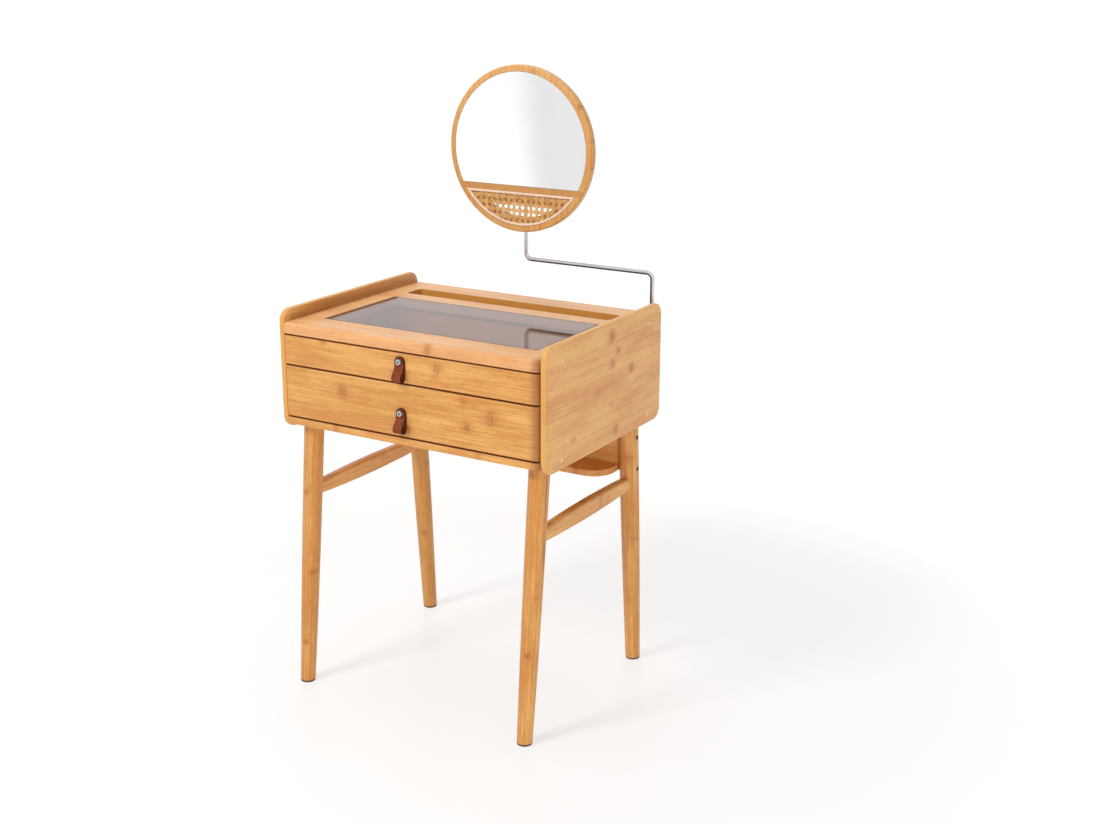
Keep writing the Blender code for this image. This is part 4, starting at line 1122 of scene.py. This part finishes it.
class DRESSING_TABLE_OT_case(TablePiece, bpy.types.Operator):
    """The base board, and the finish of the back, trough, runners and drawer boxes"""

    bl_idname = "dressing_table.case"
    bl_label = "Case"

    def build(self, scene):
        timber = scene.dressing_timber
        low, high = between_panels("bottom_board")
        base = board("base_board", low, high, corner=FRONT_CORNER, corners="front right", edge=BOARD_EDGE)
        marks = [(-0.1709, -0.219, 0.5526, 0.8, 0.8), (0.1561, -0.219, 0.5469, 0.8, 0.8)]
        # Painted shade at the base's right end and in the gap along its upper front edge.
        material = bamboo("bamboo_base", "X", "Y", timber, 8.0, marks=marks, nodes=0.4,
                          patches=[painted_end_shade(low, high), painted_gap_shade(low, high)])
        fit(base, material, "case", "bamboo", "bottom_board")
        box_sides = bamboo("bamboo_box_sides", "Y", "Z", timber, 14.0)
        dress(bamboo("bamboo_ply_back", "X", "Z", timber, 11.0, strip=0.31, nodes=0.0), "back_panel")
        # tone=0.70 darkens the trough's walls: painted shade inside the slot.
        dress(bamboo("bamboo_trough", "X", "Z", timber, 12.0, tone=0.70, nodes=0.5),
              "trough_front_wall", "trough_rear_wall")
        dress(bamboo("bamboo_ply_floors", "X", "Y", timber, 13.0, strip=0.27, nodes=0.0),
              "trough_floor", "upper_drawer_floor", "lower_drawer_floor")
        for node in ("%s_drawer_%s_side", "%s_runner_%s"):
            dress(box_sides, *[node % key for key in product(LEVELS, SIDES)])
        dress(bamboo("bamboo_box_backs", "X", "Z", timber, 15.0), "upper_drawer_back", "lower_drawer_back")


class DRESSING_TABLE_OT_drawer_fronts(TablePiece, bpy.types.Operator):
    """Two drawer fronts with rounded ends"""

    bl_idname = "dressing_table.drawer_fronts"
    bl_label = "Drawer Fronts"

    def build(self, scene):
        marks = {
            "upper": [(-0.1942, -0.219, 0.7184, 0.8, 0.8), (0.0683, -0.219, 0.7027, 1.2, 1.0),
                      (0.0640, -0.219, 0.6850, 1.0, 0.45)],
            "lower": [(-0.1520, -0.219, 0.6258, 1.6, 1.0), (0.1252, -0.219, 0.6481, 0.8, 0.8),
                      (0.1843, -0.219, 0.6245, 1.6, 1.0), (0.1318, -0.219, 0.6011, 1.2, 0.9),
                      (0.0030, -0.219, 0.5760, 0.9, 0.9)],
        }
        for seed, level, tone in ((21.0, "upper", -0.06), (24.0, "lower", 0.10)):
            low, high = between_panels(level + "_drawer_front", FRONT_PLAY)
            front = board("drawer_front_" + level, low, high, corner=FRONT_CORNER, corners="front right",
                          edge=BOARD_EDGE)
            # Painted shade at each front's right end and in the gap along its upper front edge.
            material = bamboo("bamboo_front_" + level, "X", "Z", scene.dressing_timber, seed,
                              marks=marks[level], nodes=0.12, tone=tone, joints=0.6,
                              patches=[painted_end_shade(low, high), painted_gap_shade(low, high)])
            fit(front, material, level + "_drawer", "bamboo", level + "_drawer_front")


class DRESSING_TABLE_OT_pulls(TablePiece, bpy.types.Operator):
    """Folded leather straps, and the domed screws that hold them"""

    bl_idname = "dressing_table.pulls"
    bl_label = "Leather Pulls"

    def build(self, scene):
        fittings = scene.dressing_fittings
        low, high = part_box("upper_pull_strap")
        middle, face = (low.x + high.x) / 2, high.y - FORWARD
        rims = [(middle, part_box(level + "_pull_strap")[1].z - SCREW_DROP, SCREW_RADIUS) for level in LEVELS]
        steel = polished_steel("screw_steel", times(0.86, fittings.steel), 0.16, rims)
        strap = self.strap(fittings.strap_width, middle, face, low.z, high.z)
        screw = self.screw(middle, face - 2 * STRAP_THICK - SCREW_GAP, high.z - SCREW_DROP)
        for level in LEVELS:
            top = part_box(level + "_pull_strap")[1]
            skin = leather("pull_leather_" + level, fittings, top.z, middle)
            fit(copy_of(strap, "leather_pull_" + level, top - high), skin, level + "_drawer", "leather",
                level + "_pull_strap", angle=50)
            fit(copy_of(screw, "pull_screw_dome_" + level, top - high), steel, level + "_drawer", "steel",
                level + "_pull_screw")
        discard(strap)
        discard(screw)

    def strap(self, width, x, back, low, top):
        """One strap folded forward and up, its layers pressed together above the neck."""
        middle, neck, steps = low + STRAP_LOOP + STRAP_THICK / 2, top - STRAP_NECK, 12
        only()
        bpy.ops.mesh.primitive_plane_add(size=1, location=(x, back - STRAP_THICK / 2, top))
        bpy.context.object.scale = (width, STRAP_THICK, 1)
        obj = named("strap")
        mode("EDIT")
        whole()
        bpy.ops.mesh.delete(type="ONLY_FACE")
        whole()
        for _ in range(4):
            draw((0, 0, (middle - top) / 4))
        turn((x, back - STRAP_THICK / 2 - STRAP_LOOP, middle), 180, 18, (1, 0, 0))
        span = 2 * STRAP_LOOP - STRAP_THICK - LAYER_GAP
        eased = [share * share * (3 - 2 * share) for share in [step / steps for step in range(steps + 1)]]
        for before, after in zip(eased, eased[1:]):
            draw((0, span * (after - before), (neck - middle) / steps))
        for _ in range(4):
            draw((0, 0, STRAP_NECK / 4))
        close_ends(obj)
        half, clear = width / 2, 5 * PAST
        outline = block("outline", (x - half - NEAR, back - clear, low - PAST),
                        (x + half + NEAR, back + clear, top))
        bevel_edges(outline, half - NEAR, 16,
                    lambda a, b: abs((a - b).y) > NEAR and min(a.z, b.z) > top - NEAR)
        cut(obj, outline, operation="INTERSECT")
        soften(obj, STRAP_EDGE, 2, 40)
        return obj

    def screw(self, x, face, z):
        front = face - SCREW_HEIGHT
        head = drum("screw", (x, face - SCREW_HEIGHT / 2, z), SCREW_RADIUS, SCREW_HEIGHT, "Y", 64)
        bevel_edges(head, SCREW_DOME, 10, lambda a, b: max(a.y, b.y) < front + NEAR)
        cut(head, drum("drive", (x, front, z), DRIVE_RADIUS, 2 * DRIVE_DEPTH, "Y", 6))
        soften(head, DRIVE_EDGE, 2, 50)
        return head


def leg_radius(height):
    """Radius of a leg at a height: it swells a little on its way down to the foot."""
    drop = max(1 - height / UNDERSIDE, 0)
    return LEG_TOP_RADIUS - (LEG_TOP_RADIUS - LEG_FOOT_RADIUS) * drop ** LEG_SWELL


def leg_y(run, height):
    """How far back the middle of a leg is at a height."""
    top_y, splay = LEG_LINES[run]
    return top_y + splay * (1 - height / UNDERSIDE)


def on_side(obj, name, sign):
    """A copy of what was made for the left side, turned over where it is for the right."""
    return copy_of(obj, name, flip="X" if sign > 0 else None)


class DRESSING_TABLE_OT_legs(TablePiece, bpy.types.Operator):
    """Four turned, splayed legs on felt pads, and the rails that join them"""

    bl_idname = "dressing_table.legs"
    bl_label = "Legs and Rails"

    def build(self, scene):
        timber = scene.dressing_timber
        marks = {"front": [(-0.2608, -0.2113, 0.3988, 0.7, 1.0), (-0.2450, -0.2190, 0.2359, 0.8, 0.9),
                           (-0.2561, -0.2396, 0.0877, 0.6, 1.0), (0.2657, -0.2308, 0.1807, 0.8, 1.0),
                           (0.2588, -0.1990, 0.5221, 0.8, 0.7)],
                 "rear": [(-0.2407, 0.1769, 0.3526, 0.6, 0.8), (-0.2528, 0.1731, 0.1881, 0.8, 1.0),
                          (0.2700, 0.1364, 0.4565, 1.2, 1.0), (0.2700, 0.1840, 0.2809, 0.9, 0.9)]}
        legs = {}
        for run, darker in (("front", 0.15), ("rear", 0.48)):
            top_y, splay = LEG_LINES[run]
            # Painted shade: the left legs darkened, a little at the front and strongly at the rear.
            left = (0.46, 0.18, 0.030), darker, NEAR, {"X": (-BEYOND, 0.0)}
            material = bamboo("bamboo_legs_" + run, "Z", "X", timber, 31.0 + top_y, strip=LEG_STRIP,
                              lean=-math.atan2(splay, UNDERSIDE), marks=marks[run], tone=0.20, joints=1.3,
                              patches=[left])
            low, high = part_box("%s_left_leg" % run)
            model = self.leg(run, low.z, high.z)
            if run == "rear":
                for height in BOLT_HEIGHTS.values():
                    face = (-LEG_X - leg_radius(height), leg_y(run, height), height)
                    cut(model, drum("bore", face, BOLT_HOLE, 2 * (BOLT_SINK + BOLT_HEAD), "X"))
            for word, sign in SIDES.items():
                legs[run, word] = on_side(model, "turned_leg_%s_%s" % (run, word), sign)
                fit(legs[run, word], material, "case", "bamboo", "%s_%s_leg" % (run, word))
            discard(model)
        self.pads()
        self.rails(timber, legs)

    def leg(self, run, foot, head):
        """Rings drawn down from the case, each as wide as the leg is there."""
        obj = ring("leg", (-LEG_X, leg_y(run, head), head), leg_radius(head), LEG_SIDES)
        levels = [head + (foot + FOOT_CHAMFER - head) * step / LEG_RINGS for step in range(LEG_RINGS + 1)]
        sections = [(level, leg_radius(level)) for level in levels]
        sections.append((foot, sections[-1][1] - FOOT_INSET))
        for (above, wide), (below, narrow) in zip(sections, sections[1:]):
            centre = (-LEG_X, leg_y(run, below), below)
            draw((0, centre[1] - leg_y(run, above), below - above))
            bpy.ops.transform.resize(value=(narrow / wide, narrow / wide, 1), center_override=centre)
        close_ends(obj)
        return obj

    def pads(self):
        cloth = felt("foot_felt")
        pad_low, pad_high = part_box("front_left_foot_pad")
        centre = (pad_low + pad_high) / 2
        pad = drum("pad", centre, (pad_high.x - pad_low.x) / 2, pad_high.z - pad_low.z, "Z", 48)
        soften(pad, PAD_EDGE, 3, 50)
        for key in product(LEG_LINES, SIDES):
            low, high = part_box("%s_%s_foot_pad" % key)
            placed = copy_of(pad, "felt_glide_%s_%s" % key, (low + high) / 2 - centre)
            fit(placed, cloth, "case", "felt", "%s_%s_foot_pad" % key)
        discard(pad)

    def rails(self, timber, legs):
        """A bar each side, deeper in the middle, cut to sit against the legs."""
        front, rear = leg_y("front", RAIL_HEIGHT), leg_y("rear", RAIL_HEIGHT)
        middle, half = (front + rear) / 2, (rear - front) / 2
        rail = block("rail", (-LEG_X - RAIL_WIDTH / 2, front, RAIL_HEIGHT - RAIL_END / 2),
                     (-LEG_X + RAIL_WIDTH / 2, rear, RAIL_HEIGHT + RAIL_END / 2))
        pick_edges(rail, lambda a, b: abs((a - b).y) > half)
        bpy.ops.mesh.subdivide(number_cuts=31)
        mode("OBJECT")
        for station in sorted({round(vert.co.y, 6) for vert in rail.data.vertices}):
            share = (station - middle) / half
            size = (RAIL_MIDDLE + (RAIL_END - RAIL_MIDDLE) * share * share) / RAIL_END
            pick(rail, "VERT", lambda vert: abs(vert.co.y - station) < NEAR)
            bpy.ops.transform.resize(value=(1, 1, size), center_override=(-LEG_X, station, RAIL_HEIGHT))
        mode("OBJECT")
        soften(rail, RAIL_EDGE, 5, 50)
        marks = {"left": [],
                 "right": [(0.2589, -0.0192, 0.4175, 0.8, 0.9), (0.2700, 0.0374, 0.4100, 0.8, 0.7)]}
        for word, sign in SIDES.items():
            placed = on_side(rail, "side_rail_" + word, sign)
            cut(placed, legs["front", word], legs["rear", word], keep=True)
            material = bamboo("bamboo_rail_" + word, "Y", "X", timber, 37.0 + sign, strip=RAIL_STRIP,
                              marks=marks[word])
            fit(placed, material, "case", "bamboo", word + "_stretcher")
        discard(rail)


class DRESSING_TABLE_OT_rear_shelf(TablePiece, bpy.types.Operator):
    """The small shelf between the rear legs, its leaning back board and its bolts"""

    bl_idname = "dressing_table.rear_shelf"
    bl_label = "Rear Shelf"

    def build(self, scene):
        timber = scene.dressing_timber
        low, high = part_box("rear_shelf_board")
        shelf = board("shelf_board", low, high, corner=SHELF_CORNER, corners="front", edge=SHELF_EDGE)
        material = bamboo("bamboo_shelf", "X", "Y", timber, 41.0, fade=(timber.bleached, 0.35),
                          marks=[(0.1790, low.y, 0.4300, 0.8, 0.8)])
        fit(shelf, material, "case", "bamboo", "rear_shelf_board")

        low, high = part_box("rear_shelf_back")
        drift = LEG_LINES["rear"][1] / UNDERSIDE * (high.z - low.z) / 2
        back = block("shelf_back", (low.x, low.y + drift, low.z), (high.x, high.y - drift, high.z))
        for level, step in ((low.z, drift), (high.z, -drift)):
            pick(back, "VERT", lambda vert: abs(vert.co.z - level) < NEAR)
            bpy.ops.transform.translate(value=(0, step, 0))
            mode("OBJECT")
        soften(back, SHELF_BACK_EDGE, 2)
        fit(back, bamboo("bamboo_shelf_back", "X", "Z", timber, 43.0), "case", "bamboo", "rear_shelf_back")

        black = polished_steel("bolt_steel", (0.055, 0.045, 0.040), 0.34)
        for word, height in BOLT_HEIGHTS.items():
            face, y = -LEG_X - leg_radius(height) + BOLT_SINK, leg_y("rear", height)
            bolt = drum("bolt", (face + BOLT_HEAD / 2, y, height), BOLT_RADIUS, BOLT_HEAD, "X")
            cut(bolt, drum("drive", (face, y, height), BOLT_DRIVE, 2 * BOLT_DRIVE_DEPTH, "X", 6))
            soften(bolt, BOLT_EDGE, 2, 50)
            for side, sign in SIDES.items():
                head = on_side(bolt, "shelf_bolt_head_%s_%s" % (word, side), sign)
                fit(head, black, "case", "dark_steel", "shelf_bolt_%s_%s" % (word, side))
            discard(bolt)


class DRESSING_TABLE_OT_rod(TablePiece, bpy.types.Operator):
    """The bent steel rod, the block it turns in and the cleat behind the mirror"""

    bl_idname = "dressing_table.rod"
    bl_label = "Mirror Rod"

    def build(self, scene):
        timber = scene.dressing_timber
        low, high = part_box("mirror_rod")
        rod = ring("swivel_rod", (ROD_X, ROD_Y, low.z), ROD_RADIUS, 40)
        draw((0, 0, ROD_LEVEL - ROD_BEND - low.z))
        turn((ROD_X - ROD_BEND, ROD_Y, ROD_LEVEL - ROD_BEND), 90, 20, UP_FROM_X)
        draw((MIRROR_X - ROD_X + 2 * ROD_BEND, 0, 0))
        turn((MIRROR_X + ROD_BEND, ROD_Y, ROD_LEVEL + ROD_BEND), 90, 20, DOWN_FROM_X)
        draw((0, 0, high.z - ROD_LEVEL - ROD_BEND))
        close_ends(rod)
        soften(rod, ROD_EDGE, 2, 60)
        steel = polished_steel("rod_steel", scene.dressing_fittings.steel, 0.10,
                               under=(ROD_X, ROD_BEND, ROD_LEVEL))
        fit(rod, steel, "mirror_arm", "steel", "mirror_rod")

        low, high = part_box("rod_socket")
        holder = board("rod_block", low, high, corner=BLOCK_CORNER, edge=BLOCK_EDGE, steps=8)
        floor, above = low.z + BLOCK_FLOOR, high.z + PAST
        cut(holder, drum("bore", (ROD_X, ROD_Y, (floor + above) / 2), ROD_HOLE, above - floor))
        fit(holder, bamboo("bamboo_rod_block", "Z", "X", timber, 51.0), "case", "bamboo", "rod_socket")

        low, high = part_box("mirror_hub")
        cleat = board("mirror_cleat", low, high, corner=CLEAT_CORNER, axis="Y", edge=BLOCK_EDGE, steps=8)
        below, ceiling = low.z - PAST, high.z - CLEAT_CEILING
        cut(cleat, drum("bore", (MIRROR_X, ROD_Y, (below + ceiling) / 2), ROD_HOLE, ceiling - below),
            block("channel", (MIRROR_X - ROD_HOLE, low.y - PAST, below),
                  (MIRROR_X + ROD_HOLE, ROD_Y, ceiling)))
        fit(cleat, bamboo("bamboo_cleat", "Z", "X", timber, 53.0), "mirror", "bamboo", "mirror_hub")


MIRROR_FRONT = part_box("mirror_frame")[0].y
MIRROR_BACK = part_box("mirror_frame")[1].y


class DRESSING_TABLE_OT_mirror(TablePiece, bpy.types.Operator):
    """The round frame with its pockets, and the silvered pane in the upper one"""

    bl_idname = "dressing_table.mirror"
    bl_label = "Mirror"

    def build(self, scene):
        timber = scene.dressing_timber
        thick = MIRROR_BACK - MIRROR_FRONT
        through = -PAST, thick + PAST
        hoop = drum("mirror_ring", (MIRROR_X, MIRROR_FRONT + thick / 2, MIRROR_Z), MIRROR_RADIUS, thick,
                    "Y", 192)
        bevel_edges(hoop, MIRROR_EDGE, 6, lambda a, b: abs(a.y - b.y) < NEAR)
        cut(hoop,
            segment_plate("pane_pocket", PANE_RADIUS, PANE_CHORD, PANE_FILLET, -PAST, PANE_REBATE),
            segment_plate("opening", PANE_RADIUS - MIRROR_RIB, PANE_CHORD + MIRROR_RIB, PANE_FILLET,
                          *through),
            segment_plate("back_pocket", PANE_RADIUS, BACKING_CHORD, PANE_FILLET, thick - BACKING_REBATE,
                          thick + PAST),
            segment_plate("cane_pocket", CANE_RADIUS, CANE_CHORD, 0, -PAST, CANE_REBATE, below=True),
            segment_plate("cane_window", WINDOW_RADIUS, WINDOW_CHORD, WINDOW_FILLET, *through, below=True))
        soften(hoop, POCKET_EDGE, 2, 60)
        floor = MIRROR_FRONT + CANE_REBATE
        # Painted shade: the cane pocket's floor is made dark brown, where it shows through the cane's eyes.
        pocket = (0.30, 0.110, 0.030), 0.70, POCKET_SOFT, {
            "X": (MIRROR_X - CANE_RADIUS, MIRROR_X + CANE_RADIUS),
            "Y": (floor - POCKET_SHADE[0], floor + POCKET_SHADE[1]),
            "Z": (MIRROR_Z - CANE_RADIUS, MIRROR_Z + CANE_CHORD)}
        band = (0.42, 0.180, 0.050), 0.42, BAND_SOFT, {
            "X": (MIRROR_X - BAND_HALF, MIRROR_X + BAND_HALF),
            "Z": (MIRROR_Z + CANE_CHORD - BAND_PAST, MIRROR_Z + PANE_CHORD + BAND_PAST)}
        # Painted light: the frame is made lighter towards its top.
        crown = (0.86, 0.560, 0.250), 0.22, CROWN_SOFT, {"Z": (MIRROR_Z + CROWN_RISE, BEYOND)}
        material = bamboo("bamboo_mirror", "Z", "X", timber, 61.3, strip=MIRROR_STRIP, nodes=0.45, joints=1.6,
                          marks=[(0.0130, MIRROR_FRONT, 1.2010, 0.7, 0.9),
                                 (0.1180, MIRROR_FRONT, 1.1380, 0.6, 0.9),
                                 (-0.0820, MIRROR_FRONT, 0.9130, 0.5, 0.9)],
                          fade=(timber.golden, 0.55), patches=[band, crown, pocket])
        fit(hoop, material, "mirror", "bamboo", "mirror_frame")

        low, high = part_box("mirror_glass")
        pane = segment_plate("silvered_pane", PANE_RADIUS - PANE_GAP, PANE_CHORD + PANE_GAP, PANE_FILLET,
                             low.y - MIRROR_FRONT, high.y - MIRROR_FRONT)
        soften(pane, PANE_EDGE, 2, 60)
        fit(pane, silvered("silvered_glass"), "mirror", "mirror_glass", "mirror_glass")
        dress(bamboo("bamboo_mirror_backing", "Z", "X", timber, 64.0, strip=0.34, nodes=0.0),
              "mirror_backing")


class DRESSING_TABLE_OT_cane(TablePiece, bpy.types.Operator):
    """The woven cane panel, strand by strand, and the reed bead that holds it"""

    bl_idname = "dressing_table.cane"
    bl_label = "Cane Panel"

    def build(self, scene):
        caning = scene.dressing_caning
        pitch, width = caning.pitch, caning.strand
        apart = width / 2 + CANE_ASIDE
        origin = Vector((MIRROR_X + CANE_COLUMN, MIRROR_FRONT + CANE_MIDDLE, MIRROR_Z + CANE_ROW))
        reach, ceiling = CANE_RADIUS - BEAD_WIDTH / 2, CANE_CHORD - BEAD_WIDTH / 2

        def crossing(t):
            """How far forward a paired strand stands, t from the middle of the pair that it crosses."""
            t = (t + pitch / 2) % pitch - pitch / 2
            if abs(t) <= apart:
                return CANE_LIFT * math.sin(math.pi / 2 * t / apart)
            share = min((abs(t) - apart) / CANE_TURN, 1)
            return math.copysign(CANE_LIFT * (0.5 + 0.5 * math.cos(math.pi * share)), t)

        def slant(t):
            """How far a slanting strand stands forward: it dips between the pairs."""
            return CANE_DIVE * math.cos(2 * math.pi * t * math.sqrt(0.5) / pitch)

        bends = [0, apart, *CANE_BENDS]
        steps = sorted({*bends, *[-bend for bend in bends]})
        stations = [k * pitch + step for k in CANE_PAIRS for step in steps]
        eighths = [k * pitch * math.sqrt(0.5) / 4 for k in range(-66, 67)]
        paired = self.strand("paired", width, stations, crossing)
        slanting = self.strand("slanting", 0.90 * width, eighths, slant)

        rails, uprights, rising, falling = [], [], [], []
        for k in CANE_PAIRS:
            line = (k + 0.5) * pitch
            for side in (-1, 1):
                shift = line + side * apart
                x, z = CANE_COLUMN + shift, CANE_ROW + shift
                if abs(x) < reach - CANE_CLEAR:
                    foot = -math.sqrt(reach ** 2 - x ** 2)
                    if foot < ceiling - CANE_CLEAR:
                        place = origin + Vector((shift, 0, 0.5 * pitch))
                        uprights.append(self.laid(paired, place, 0, side, (x, foot), (x, ceiling)))
                if CANE_CLEAR - reach < z < ceiling - CANE_RAIL_CLEAR:
                    span = math.sqrt(reach ** 2 - z ** 2)
                    place = origin + Vector((0.5 * pitch, 0, shift))
                    rails.append(self.laid(paired, place, 90, -side, (-span, z), (span, z)))
            for sign, bunch in ((1, rising), (-1, falling)):
                limits = self.chord((CANE_COLUMN + line, CANE_ROW), sign, reach, ceiling)
                if limits:
                    place = origin + Vector((line, 0, 0))
                    bunch.append(self.laid(slanting, place, 45 * sign, sign, *limits))
        discard(paired)
        discard(slanting)
        for name, strands, grain, across, seed in (
                ("cane_uprights", uprights, "Z", "X", 1.0), ("cane_rails", rails, "X", "Z", 2.0),
                ("cane_rising", rising, "up", "down", 3.0), ("cane_falling", falling, "down", "up", 4.0)):
            piece = joined(name, *strands)
            fit(piece, cane(name, caning, grain, across, seed), "mirror", "cane", "cane_panel", angle=80)
        self.bead(caning)

    def strand(self, name, width, stations, forward):
        """A flat strand along Z through the origin, standing forward by forward(z) at each station."""
        obj = ring(name, (0, -forward(stations[0]), stations[0]), 0.5, 8, squeeze=(width, CANE_THICK))
        for before, after in zip(stations, stations[1:]):
            draw((0, forward(before) - forward(after), after - before))
        close_ends(obj)
        return obj

    def laid(self, model, place, degrees, side, start, end):
        """A copy of a strand, turned to its direction, and over if side is negative, cut at both ends."""
        made = copy_of(model, "strand", place, "Y" if side < 0 else None, degrees)
        first, last = [Vector((MIRROR_X + x, MIRROR_FRONT, MIRROR_Z + z)) for x, z in (start, end)]
        way = (last - first).normalized()
        mode("EDIT")
        for point, normal in ((first, -way), (last, way)):
            whole()
            bpy.ops.mesh.bisect(plane_co=point, plane_no=normal, use_fill=True, clear_outer=True)
        mode("OBJECT")
        return made

    def chord(self, through, sign, reach, ceiling):
        """Where a slanting line through a point meets the outline, or nothing if it hardly does."""
        px, pz = through
        dx, dz = math.sqrt(0.5), sign * math.sqrt(0.5)
        along = px * dx + pz * dz
        under = along ** 2 - (px ** 2 + pz ** 2 - reach ** 2)
        if under <= 0:
            return None
        first, last = -along - math.sqrt(under), -along + math.sqrt(under)
        level = (ceiling - pz) / dz
        if sign > 0:
            last = min(last, level)
        else:
            first = max(first, level)
        if last - first < CANE_SHORTEST:
            return None
        return (px + first * dx, pz + first * dz), (px + last * dx, pz + last * dz)

    def bead(self, caning):
        """A curved reed and a straight one along the edge of the pocket, mitred where they meet."""
        radius, chord = CANE_RADIUS - BEAD_GAP, CANE_CHORD - BEAD_GAP
        reach = math.sqrt(radius ** 2 - chord ** 2)
        inner = math.sqrt((radius - BEAD_WIDTH) ** 2 - (chord - BEAD_WIDTH) ** 2)
        depth = BEAD_BACK - BEAD_PROUD
        y = MIRROR_FRONT + (BEAD_BACK + BEAD_PROUD) / 2
        section = {"radius": 0.5, "sides": 24, "squeeze": (BEAD_WIDTH, depth)}
        curved = ring("curved_reed", (MIRROR_X - radius + BEAD_WIDTH / 2, y, MIRROR_Z), **section)
        turn((MIRROR_X, y, MIRROR_Z), 180, 192, UP_FROM_X)
        close_ends(curved)
        straight = ring("straight_reed", (MIRROR_X - reach, y, MIRROR_Z + chord - BEAD_WIDTH / 2), axis="X",
                        **section)
        draw((2 * reach, 0, 0))
        close_ends(straight)

        run, rise = reach - inner, BEAD_WIDTH
        outline = [(-reach - run, chord + rise), (-reach + 3 * run, chord - 3 * rise),
                   (reach - 3 * run, chord - 3 * rise), (reach + run, chord + rise),
                   (radius + PAST, -radius - PAST), (-radius - PAST, -radius - PAST)]
        across, up = outline[0]
        under = one_point("under_mitres", (MIRROR_X + across, y - depth, MIRROR_Z + up))
        for (x, z), (next_x, next_z) in zip(outline, outline[1:]):
            draw((next_x - x, 0, next_z - z))
        thickened(under, 2 * depth)
        cut(curved, under, operation="INTERSECT", keep=True)
        cut(straight, under)
        bead = joined("cane_bead", curved, straight)
        fit(bead, reed("bead_reed", caning), "mirror", "reed", "cane_piping", angle=50)


class DRESSING_TABLE_PT_pieces(bpy.types.Panel):
    """Every piece of the dressing table, in the order it is made"""

    bl_label = "Dressing Table"
    bl_space_type = "VIEW_3D"
    bl_region_type = "UI"
    bl_category = "Dressing Table"

    def draw(self, context):
        for step in STEPS:
            self.layout.operator(step.bl_idname)
        for name in SETTINGS:
            group = getattr(context.scene, name)
            box = self.layout.box()
            for prop in group.bl_rna.properties:
                if not prop.is_readonly and prop.identifier != "name":
                    box.prop(group, prop.identifier)


SETTINGS = {
    "dressing_timber": DressingTableTimber,
    "dressing_fittings": DressingTableFittings,
    "dressing_caning": DressingTableCaning,
    "dressing_studio": DressingTableStudio,
}
STEPS = (
    DRESSING_TABLE_OT_stage,
    DRESSING_TABLE_OT_side_panels,
    DRESSING_TABLE_OT_top,
    DRESSING_TABLE_OT_case,
    DRESSING_TABLE_OT_drawer_fronts,
    DRESSING_TABLE_OT_pulls,
    DRESSING_TABLE_OT_legs,
    DRESSING_TABLE_OT_rear_shelf,
    DRESSING_TABLE_OT_rod,
    DRESSING_TABLE_OT_mirror,
    DRESSING_TABLE_OT_cane,
)


def register():
    for group in SETTINGS.values():
        bpy.utils.register_class(group)
    for step in STEPS:
        bpy.utils.register_class(step)
    bpy.utils.register_class(DRESSING_TABLE_PT_pieces)
    for name, group in SETTINGS.items():
        setattr(bpy.types.Scene, name, bpy.props.PointerProperty(type=group))


def unregister():
    for name in SETTINGS:
        delattr(bpy.types.Scene, name)
    bpy.utils.unregister_class(DRESSING_TABLE_PT_pieces)
    for step in reversed(STEPS):
        bpy.utils.unregister_class(step)
    for group in SETTINGS.values():
        bpy.utils.unregister_class(group)


def main():
    """Registers the add-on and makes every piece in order."""
    register()
    for step in STEPS:
        family, verb = step.bl_idname.split(".")
        getattr(getattr(bpy.ops, family), verb)()
    only()


if __name__ == "__main__":
    main()
